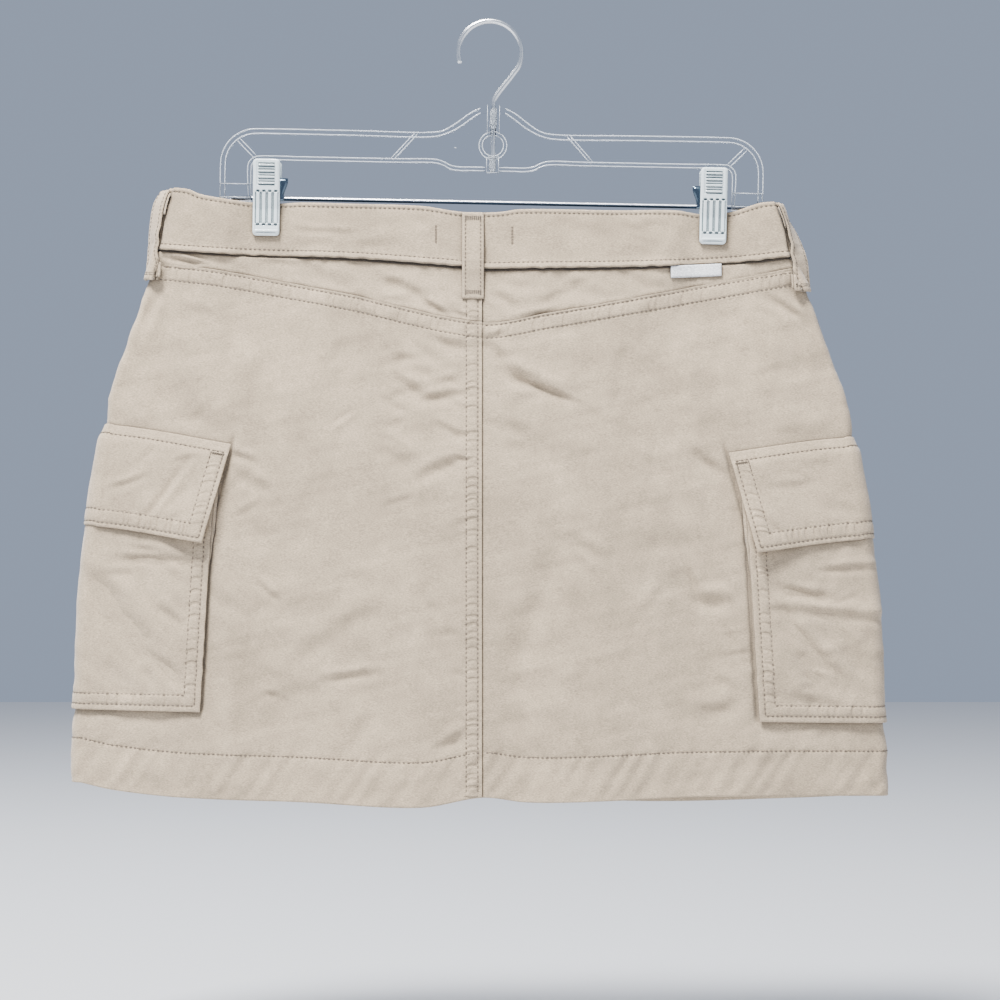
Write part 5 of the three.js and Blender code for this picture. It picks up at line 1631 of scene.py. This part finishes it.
def rounded_line(points, each):
    """A curve through the points that eases evenly from one to the next."""
    points = np.asarray(points, float)
    padded = np.concatenate([[2 * points[0] - points[1]], points, [2 * points[-1] - points[-2]]])
    line = []
    for i in range(1, len(padded) - 2):
        p0, p1, p2, p3 = padded[i - 1:i + 3]
        k0, k1, k2 = (max(np.linalg.norm(b - a), 1e-6) ** 0.5 for a, b in ((p0, p1), (p1, p2), (p2, p3)))
        m1 = (p1 - p0) / k0 - (p2 - p0) / (k0 + k1) + (p2 - p1) / k1
        m2 = (p2 - p1) / k1 - (p3 - p1) / (k1 + k2) + (p3 - p2) / k2
        for t in np.arange(each) / each:
            a = 2 * t**3 - 3 * t**2 + 1
            b = t**3 - 2 * t**2 + t
            line.append(a * p1 + b * m1 * k1 + (1 - a) * p2 + (t**3 - t**2) * m2 * k1)
    line.append(points[-1])
    return np.array(line)


def wires_piece(name, lines, radius, sides, material):
    """One piece made of round wires along several lines in the hanger's plane."""
    points, faces = joined(*[wire(line, radius, sides) for line in lines])
    piece = mesh_piece(name, points, faces, material)
    piece.data.polygons.foreach_set("use_smooth", [len(face) == 4 for face in faces])
    return piece


# The edges of the frame's ribs, drawn as whitish beads: a painted highlight for the light the clear
# moulding gathers there.
FRAME_HALF = 176.5
FRAME_TOP = 45.3
CORNER = 23.0
LEG_INNER = 156.0
BAR_UNDER = 24.7
DIP_UNDER = 20.2
HUMP_TOP = 61.5
UNDER_FILLET = 5.0
RIB_FACE = 2.0
FOOT_FACE = 2.5
FOOT_TOP = 9.5
SOCKET_FACE = 4.0
SOCKET_HALF = 4.2
RING_V = 37.0
RING_LINES = (9.0, 6.9)
STEM_U = 0.4
EDGE_BEAD = 0.3
GATE_MARK = (-23.9, 35.2)
SLEEVE_RADIUS = 2.4


def arc_line(centre_u, centre_v, radius, start, end, count):
    angles = np.radians(np.linspace(start, end, count))
    return [(centre_u + radius * math.cos(a), centre_v + radius * math.sin(a)) for a in angles]


def outer_line(inset):
    """Outer edge of the frame from its right foot up to the hump."""
    corner = arc_line(FRAME_HALF - CORNER, FRAME_TOP - CORNER, CORNER - inset, 0, 90, 11)
    hump = [
        (38 + inset * 0.4, FRAME_TOP - inset),
        (31 + inset * 0.3, FRAME_TOP + 1.6 - inset),
        (24 - inset * 0.4, FRAME_TOP + 6 - inset),
        (14.5 - inset * 0.6, HUMP_TOP - 3.2 - inset * 0.9),
        (8, HUMP_TOP - inset),
    ]
    return [(FRAME_HALF - inset, 0.0)] + corner + [(90, FRAME_TOP - inset)] + hump


def under_line(inset, leg_inset):
    """Under edge of the frame from the right leg's foot in to the middle."""
    fillet = arc_line(LEG_INNER - UNDER_FILLET, BAR_UNDER - UNDER_FILLET, UNDER_FILLET + inset, 0, 90, 6)
    bar = [(120, BAR_UNDER + inset), (60, BAR_UNDER + inset), (36, BAR_UNDER + inset),
           (31, BAR_UNDER - 1.6 + inset), (27, DIP_UNDER + 0.9 + inset), (22, DIP_UNDER + inset),
           (14, DIP_UNDER + inset), (SOCKET_HALF + STEM_U, DIP_UNDER + inset)]
    return [(LEG_INNER + leg_inset, 0.0)] + fillet + bar


half_lines = [outer_line(0.3), outer_line(3.3), under_line(0.3, 0.2), under_line(2.6, 1.8)]
for shift in (-0.8, 0.8):
    half_lines.append([(164.5 + shift, 37.5 - shift), (153.5 + shift, 26.5 - shift)])
    half_lines.append([(49.3 + shift, 44.2 + shift * 0.6), (65 + shift, 26.8 + shift * 0.6)])
rib_lines = []
for mirror in (-1, 1):
    for line in half_lines:
        flat = rounded_line([(mirror * u, v) for u, v in line], 5)
        for face in (-1, 1):
            rib_lines.append(to_hanger(flat[:, 0], face * RIB_FACE, flat[:, 1]))
    for face in (-1, 1):
        for level in (0.4, FOOT_TOP - 0.4):
            foot_u = mirror * np.array([LEG_INNER + 0.3, FRAME_HALF - 0.3])
            rib_lines.append(to_hanger(foot_u, face * FOOT_FACE, np.array([level, level])))
for face in (-1, 1):
    for radius in RING_LINES:
        ring = np.array(arc_line(STEM_U, RING_V, radius, 90, 450, 49))
        rib_lines.append(to_hanger(ring[:, 0], face * RIB_FACE, ring[:, 1]))
    for edge in (-SOCKET_HALF + 0.3, SOCKET_HALF - 0.3):
        for low, high in ((DIP_UNDER - 0.8, 29.3), (45.6, HUMP_TOP + 1.3)):
            socket_u = np.full(2, STEM_U + edge)
            rib_lines.append(to_hanger(socket_u, face * SOCKET_FACE, np.array([low, high])))
    socket_u = STEM_U + np.array([-SOCKET_HALF, SOCKET_HALF]) * 0.9
    for level in (DIP_UNDER - 0.8, 29.2):
        rib_lines.append(to_hanger(socket_u, face * SOCKET_FACE, np.array([level, level])))
for face in (-1, 1):
    gate_u = GATE_MARK[0] + np.array([-0.7, 0.0, 0.7])
    rib_lines.append(to_hanger(gate_u, face * 1.1, GATE_MARK[1] + 0 * gate_u))
wires_piece("frame_rib_edges", rib_lines, EDGE_BEAD, 8, painted_glint_moulding)
# Whitish sleeves round the hook's stem in the frame's sockets, in the same painted-highlight material.
sleeves = []
for low, high in ((DIP_UNDER - 0.4, 29.2), (45.8, HUMP_TOP + 1.2)):
    sleeves.append(to_hanger(np.full(5, STEM_U), 0.0, np.linspace(low, high, 5)))
wires_piece("frame_stem_sleeves", sleeves, SLEEVE_RADIUS, 24, painted_glint_moulding)

# Rod and hook
# Bright plated wire. The rod runs from foot to foot; the hook's stem passes down through
# the frame's ring, and above the frame it bends out and over into a plain open hook.
ROD_RADIUS = 1.4
ROD_HALF = 169.0
HOOK_WIRE = 1.6
HOOK_INNER = 19.0
STEM_FOOT = 23.0
bright_wire = metal("bright plated wire", (0.86, 0.88, 0.9), 0.28)


def blend(material, part, first, second):
    """A colour node that goes from the first to the second as the part goes from 0 to 1."""
    tone = material.node_tree.nodes.new("ShaderNodeMix")
    tone.data_type = "RGBA"
    tone.inputs["A"].default_value = first
    tone.inputs["B"].default_value = second
    material.node_tree.links.new(part, tone.inputs["Factor"])
    return tone


# Painted reflection: the rod's colour is bright on top and nearly black beneath, standing in for a bright
# ceiling mirrored above and a dark room below.
rod_wire = metal("plated rod wire with painted reflection", (0.9, 0.92, 0.94), 0.3)
rod_nodes = rod_wire.node_tree.nodes
rod_link = rod_wire.node_tree.links.new
rod_facing = rod_nodes.new("ShaderNodeNewGeometry")
rod_up = rod_nodes.new("ShaderNodeSeparateXYZ")
rod_link(rod_facing.outputs["Normal"], rod_up.inputs["Vector"])
rod_part = ranged(rod_wire, rod_up.outputs["Z"], -0.12, 0.18)
rod_painted_reflection = blend(rod_wire, rod_part, (0.02, 0.035, 0.06, 1), (0.95, 0.97, 1.0, 1))
rod_link(rod_painted_reflection.outputs["Result"], rod_nodes["Principled BSDF"].inputs["Base Color"])

u = np.concatenate([[-ROD_HALF, -ROD_HALF + 0.6], np.linspace(-160, 160, 9), [ROD_HALF - 0.6, ROD_HALF]])
rod_line = to_hanger(u, 0 * u, 0 * u)
rod = wires_piece("hanger_rod_wire", [rod_line], ROD_RADIUS, 32, rod_wire)
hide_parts("hanger_rod")

foot = to_hanger(STEM_U, 0.0, STEM_FOOT)
neck = to_hanger(STEM_U, 0.0, HUMP_TOP + 5)
hook_points = [foot, foot + (neck - foot) * 0.5, foot + (neck - foot) * 0.9, neck]
for degrees in np.linspace(-45, 200, 13):
    angle = math.radians(degrees)
    reach = HOOK_INNER + HOOK_WIRE
    hook_points.append(np.array([reach * math.cos(angle), 0, reach * math.sin(angle) - HOOK_INNER]))
hook_line = rounded_line(hook_points, 7)
hook = wires_piece("hanger_hook_wire", [hook_line], HOOK_WIRE, 28, bright_wire)
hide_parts("hook")

# Pinch clips
# Pale glossy jaws, ribbed for the thumb: short bars across the top half, four ribs down the
# lower half, and a shallow scoop above a plain lip. A bent steel strip springs each pair
# apart at the top, and both ride on the rod.
CLIP_WIDTH = 17.4
JAW_TOP = 24.8
JAW_BITE = PINCH_HALF + 0.5 + 0.35 + 0.15
JAW_LINE = dict(
    v=[-24.5, -21.5, -7, -1, 12, 25.9],
    back=[0, 0, 0.3, 1.6, 4.4, 7.4],
    face=[2.2, 3.1, 3.4, 4.6, 6.8, 9.2],
)
JAW_CORNER = 2.4
BAR_HALF = 5.2
BARS = [21.0, 17.15, 13.3, 9.45]
RIBS = [-5.4, -1.55, 2.3, 6.15]
RIB_TOP = 3.6
RIB_FOOT = -16.6
SCOOP_TOP = -17.6
SCOOP_FOOT = -20.8
LIP_V = -22.3
# Heights above the jaw's plain field, and depths below it.
RELIEF = dict(bar=0.7, rib=0.5, window=0.3, field=0.2, slot=1.1, groove=0.7, pit=1.5, scoop=0.35, lip=0.9)
PALE_TONES = ((0.80, 0.93, 0.94, 1), (0.94, 0.995, 0.99, 1))
# Painted shade: the jaws' colour turns to a dark teal in their slots, grooves and pits, where the relief
# hems the surface in.
SLOT_PAINTED_SHADE = (0.05, 0.1, 0.12, 1)
pale_gloss, jaw_surface = new_material("pale glossy jaw", 0.2)
jaw_surface.inputs["Coat Weight"].default_value = 0.5
jaw_tone = blend(pale_gloss, patches(pale_gloss, 70), *PALE_TONES)
jaw_shade = ranged(pale_gloss, openness(pale_gloss, 0.003, 8), 0.3, 0.85)
jaw_painted_shade_mix = blend(pale_gloss, jaw_shade, SLOT_PAINTED_SHADE, SLOT_PAINTED_SHADE)
pale_gloss.node_tree.links.new(jaw_tone.outputs["Result"], jaw_painted_shade_mix.inputs["B"])
pale_gloss.node_tree.links.new(jaw_painted_shade_mix.outputs["Result"], jaw_surface.inputs["Base Color"])
spring_steel = metal("blued spring steel", (0.13, 0.18, 0.23), 0.22)

SPRING_RADIUS = 2.35
SPRING_THICK = 0.8
SPRING_BEND_V = 10.7
SPRING_FOOT = -1.4
SPRING_HIDDEN = 7.4
SPRING_WAIST = 10.6
SPRING_FLARE = 2.8


def jaw_relief(u, v):
    """Height of the ribbed face above its plain field."""
    bars = 0
    slots = 0
    for centre in BARS:
        long = 1 - smooth(BAR_HALF - 0.25, BAR_HALF + 0.25, np.abs(u))
        bars = np.maximum(bars, long * (1 - smooth(0.5, 0.75, np.abs(v - centre))))
        slots = np.maximum(slots, long * (1 - smooth(0.2, 0.45, np.abs(np.abs(v - centre) - 0.95))))
    ribs = 0
    pits = 0
    grooves = 0
    along = smooth(RIB_FOOT - 0.3, RIB_FOOT + 0.3, v) * (1 - smooth(RIB_TOP - 0.3, RIB_TOP + 0.3, v))
    for centre in RIBS:
        ribs = np.maximum(ribs, along * (1 - smooth(0.85, 1.2, np.abs(u - centre))))
        for end in (RIB_TOP + 0.7, RIB_FOOT - 0.6):
            away = np.hypot((u - centre) / 1.5, v - end)
            pits = np.maximum(pits, 1 - smooth(0.5, 0.9, away))
        grooves = np.maximum(grooves, along * (1 - smooth(0.2, 0.45, np.abs(np.abs(u - centre) - 1.45))))
    scoop = 1 - smooth(7.0, 7.4, np.abs(u))
    scoop = scoop * smooth(SCOOP_FOOT - 0.3, SCOOP_FOOT + 0.3, v)
    scoop = scoop * (1 - smooth(SCOOP_TOP - 0.3, SCOOP_TOP + 0.3, v))
    lip = 1 - smooth(6.2, 6.6, np.abs(u))
    lip = lip * (1 - smooth(0.15, 0.45, np.abs(v - LIP_V + 0.01 * u * u)))
    window = (1 - smooth(6.1, 6.5, np.abs(u))) * smooth(7.6, 8.0, v) * (1 - smooth(23.6, 24.0, v))
    field = (1 - smooth(7.2, 7.5, np.abs(u))) * along
    raised = RELIEF["bar"] * bars + RELIEF["rib"] * ribs
    raised = raised - RELIEF["window"] * window - RELIEF["field"] * field
    cuts = RELIEF["slot"] * slots + RELIEF["groove"] * grooves + RELIEF["pit"] * pits
    return raised - cuts - RELIEF["scoop"] * scoop - RELIEF["lip"] * lip


for side, name in SIDES:
    for face, way, tall, wide in ((-1, "back", 170, 70), (1, "front", 100, 40)):
        v_line = [[-24.5, -24.3, -23.9, -23.2], np.linspace(-22.4, JAW_TOP - 1.5, tall),
                  [JAW_TOP - 0.9, JAW_TOP - 0.4, JAW_TOP - 0.1, JAW_TOP]]
        w_line = [[-1, -0.985, -0.95, -0.9], np.linspace(-0.85, 0.85, wide), [0.9, 0.95, 0.985, 1]]
        w, v = np.meshgrid(np.concatenate(w_line), np.concatenate(v_line))
        end = np.minimum(v + 24.5, JAW_TOP - v)
        cut = np.maximum(JAW_CORNER - end, 0)
        half = CLIP_WIDTH / 2 - (JAW_CORNER - np.sqrt(np.maximum(JAW_CORNER**2 - cut**2, 0)))
        u = w * half
        edge = np.minimum(half - np.abs(u), end)
        fall = 0.9 * np.exp(-edge / 0.6)
        back = np.interp(v, JAW_LINE["v"], JAW_LINE["back"])
        out = np.interp(v, JAW_LINE["v"], JAW_LINE["face"]) - 0.35 + jaw_relief(u, v) - fall
        centre = side * CLIP_X - HANGER_X
        outer = to_hanger(centre + u, face * (JAW_BITE + out), v)
        inner = to_hanger(centre + u, face * (JAW_BITE + back + 0.1 * fall), v)
        points, faces = shell(outer, inner, 0.15)
        jaw = mesh_piece(f"clip_jaw_{name}_{way}", points, faces, pale_gloss)
        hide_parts(f"clip_{name}_{way}_jaw")
    bend = np.linspace(0, np.pi, 15)
    leg = np.linspace(SPRING_FOOT, SPRING_BEND_V, 14)
    turn = SPRING_RADIUS * np.cos(bend[1:-1])
    path_y = np.concatenate([0 * leg + SPRING_RADIUS, turn, 0 * leg - SPRING_RADIUS])
    path_v = np.concatenate([leg, SPRING_BEND_V + SPRING_RADIUS * np.sin(bend[1:-1]), leg[::-1]])
    out_y = np.concatenate([0 * leg + 1, np.cos(bend[1:-1]), 0 * leg - 1]) * SPRING_THICK / 2
    out_v = np.concatenate([0 * leg, np.sin(bend[1:-1]), 0 * leg]) * SPRING_THICK / 2
    outward = SPRING_WAIST + SPRING_FLARE * smooth(1, 12, path_v) + 0.8 * (1 - smooth(-1.5, 2, path_v))
    part, _ = np.meshgrid(np.linspace(0, 1, 12), path_v)
    centre = side * CLIP_X - HANGER_X
    u = centre - side * (-SPRING_HIDDEN + (outward[:, None] + SPRING_HIDDEN) * part)
    outer = to_hanger(u, (path_y + out_y)[:, None], (path_v + out_v)[:, None])
    inner = to_hanger(u, (path_y - out_y)[:, None], (path_v - out_v)[:, None])
    points, faces = shell(outer, inner, 0.2, skip=1)
    spring = mesh_piece(f"clip_spring_{name}", points, faces, spring_steel)
    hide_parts(f"clip_{name}_spring")

# Stage
# A plain pale floor under the hanging skirt, soft light from above and in front, and the
# camera square to the back of the skirt, where the photograph was taken from.
VIEW_X = 0.0065
VIEW_Z = -0.3098
VIEW_FAR = 2.4
FRAME_WIDTH = 0.65
FLOOR_Z = -0.66
SKIRT_MIDDLE = (0, 0, -0.3)
floor_mesh = bpy.data.meshes.new("floor")
floor_corners = [(x, y, FLOOR_Z) for x, y in ((-4, -4), (4, -4), (4, 4), (-4, 4))]
floor_mesh.from_pydata(floor_corners, [], [(0, 1, 2, 3)])
floor = bpy.data.objects.new("floor", floor_mesh)
bpy.context.scene.collection.objects.link(floor)
floor_paint, floor_surface = new_material("pale floor", 0.8)
floor_surface.inputs["Base Color"].default_value = (0.55, 0.56, 0.58, 1)
floor_mesh.materials.append(floor_paint)

world = bpy.data.worlds.new("soft studio")
bpy.context.scene.world = world
world.use_nodes = True
world.node_tree.nodes["Background"].inputs["Color"].default_value = (0.52, 0.62, 0.825, 1)
world.node_tree.nodes["Background"].inputs["Strength"].default_value = 0.6


def soft_light(name, place, target, size, power):
    lamp = bpy.data.lights.new(name, "AREA")
    lamp.size = size
    lamp.energy = power
    light = bpy.data.objects.new(name, lamp)
    light.location = place
    ahead = np.array(target) - np.array(place)
    light.rotation_euler = (
        math.acos(-ahead[2] / np.linalg.norm(ahead)),
        0,
        math.atan2(ahead[1], ahead[0]) - math.pi / 2,
    )
    bpy.context.scene.collection.objects.link(light)
    return light


soft_light("key from above", (-0.7, -1.1, 2.3), SKIRT_MIDDLE, 0.8, 305)
soft_light("fill from the right", (1.6, -1.6, 0.0), SKIRT_MIDDLE, 1.4, 3)
soft_light("back light", (-0.9, 1.3, 1.7), SKIRT_MIDDLE, 0.9, 60)

lens = bpy.data.cameras.new("view of the back")
lens.sensor_width = 36
lens.lens = 36 * VIEW_FAR / FRAME_WIDTH
camera = bpy.data.objects.new("view of the back", lens)
camera.location = (VIEW_X, -VIEW_FAR, VIEW_Z)
camera.rotation_euler = (math.pi / 2, 0, 0)
bpy.context.scene.collection.objects.link(camera)
bpy.context.scene.camera = camera
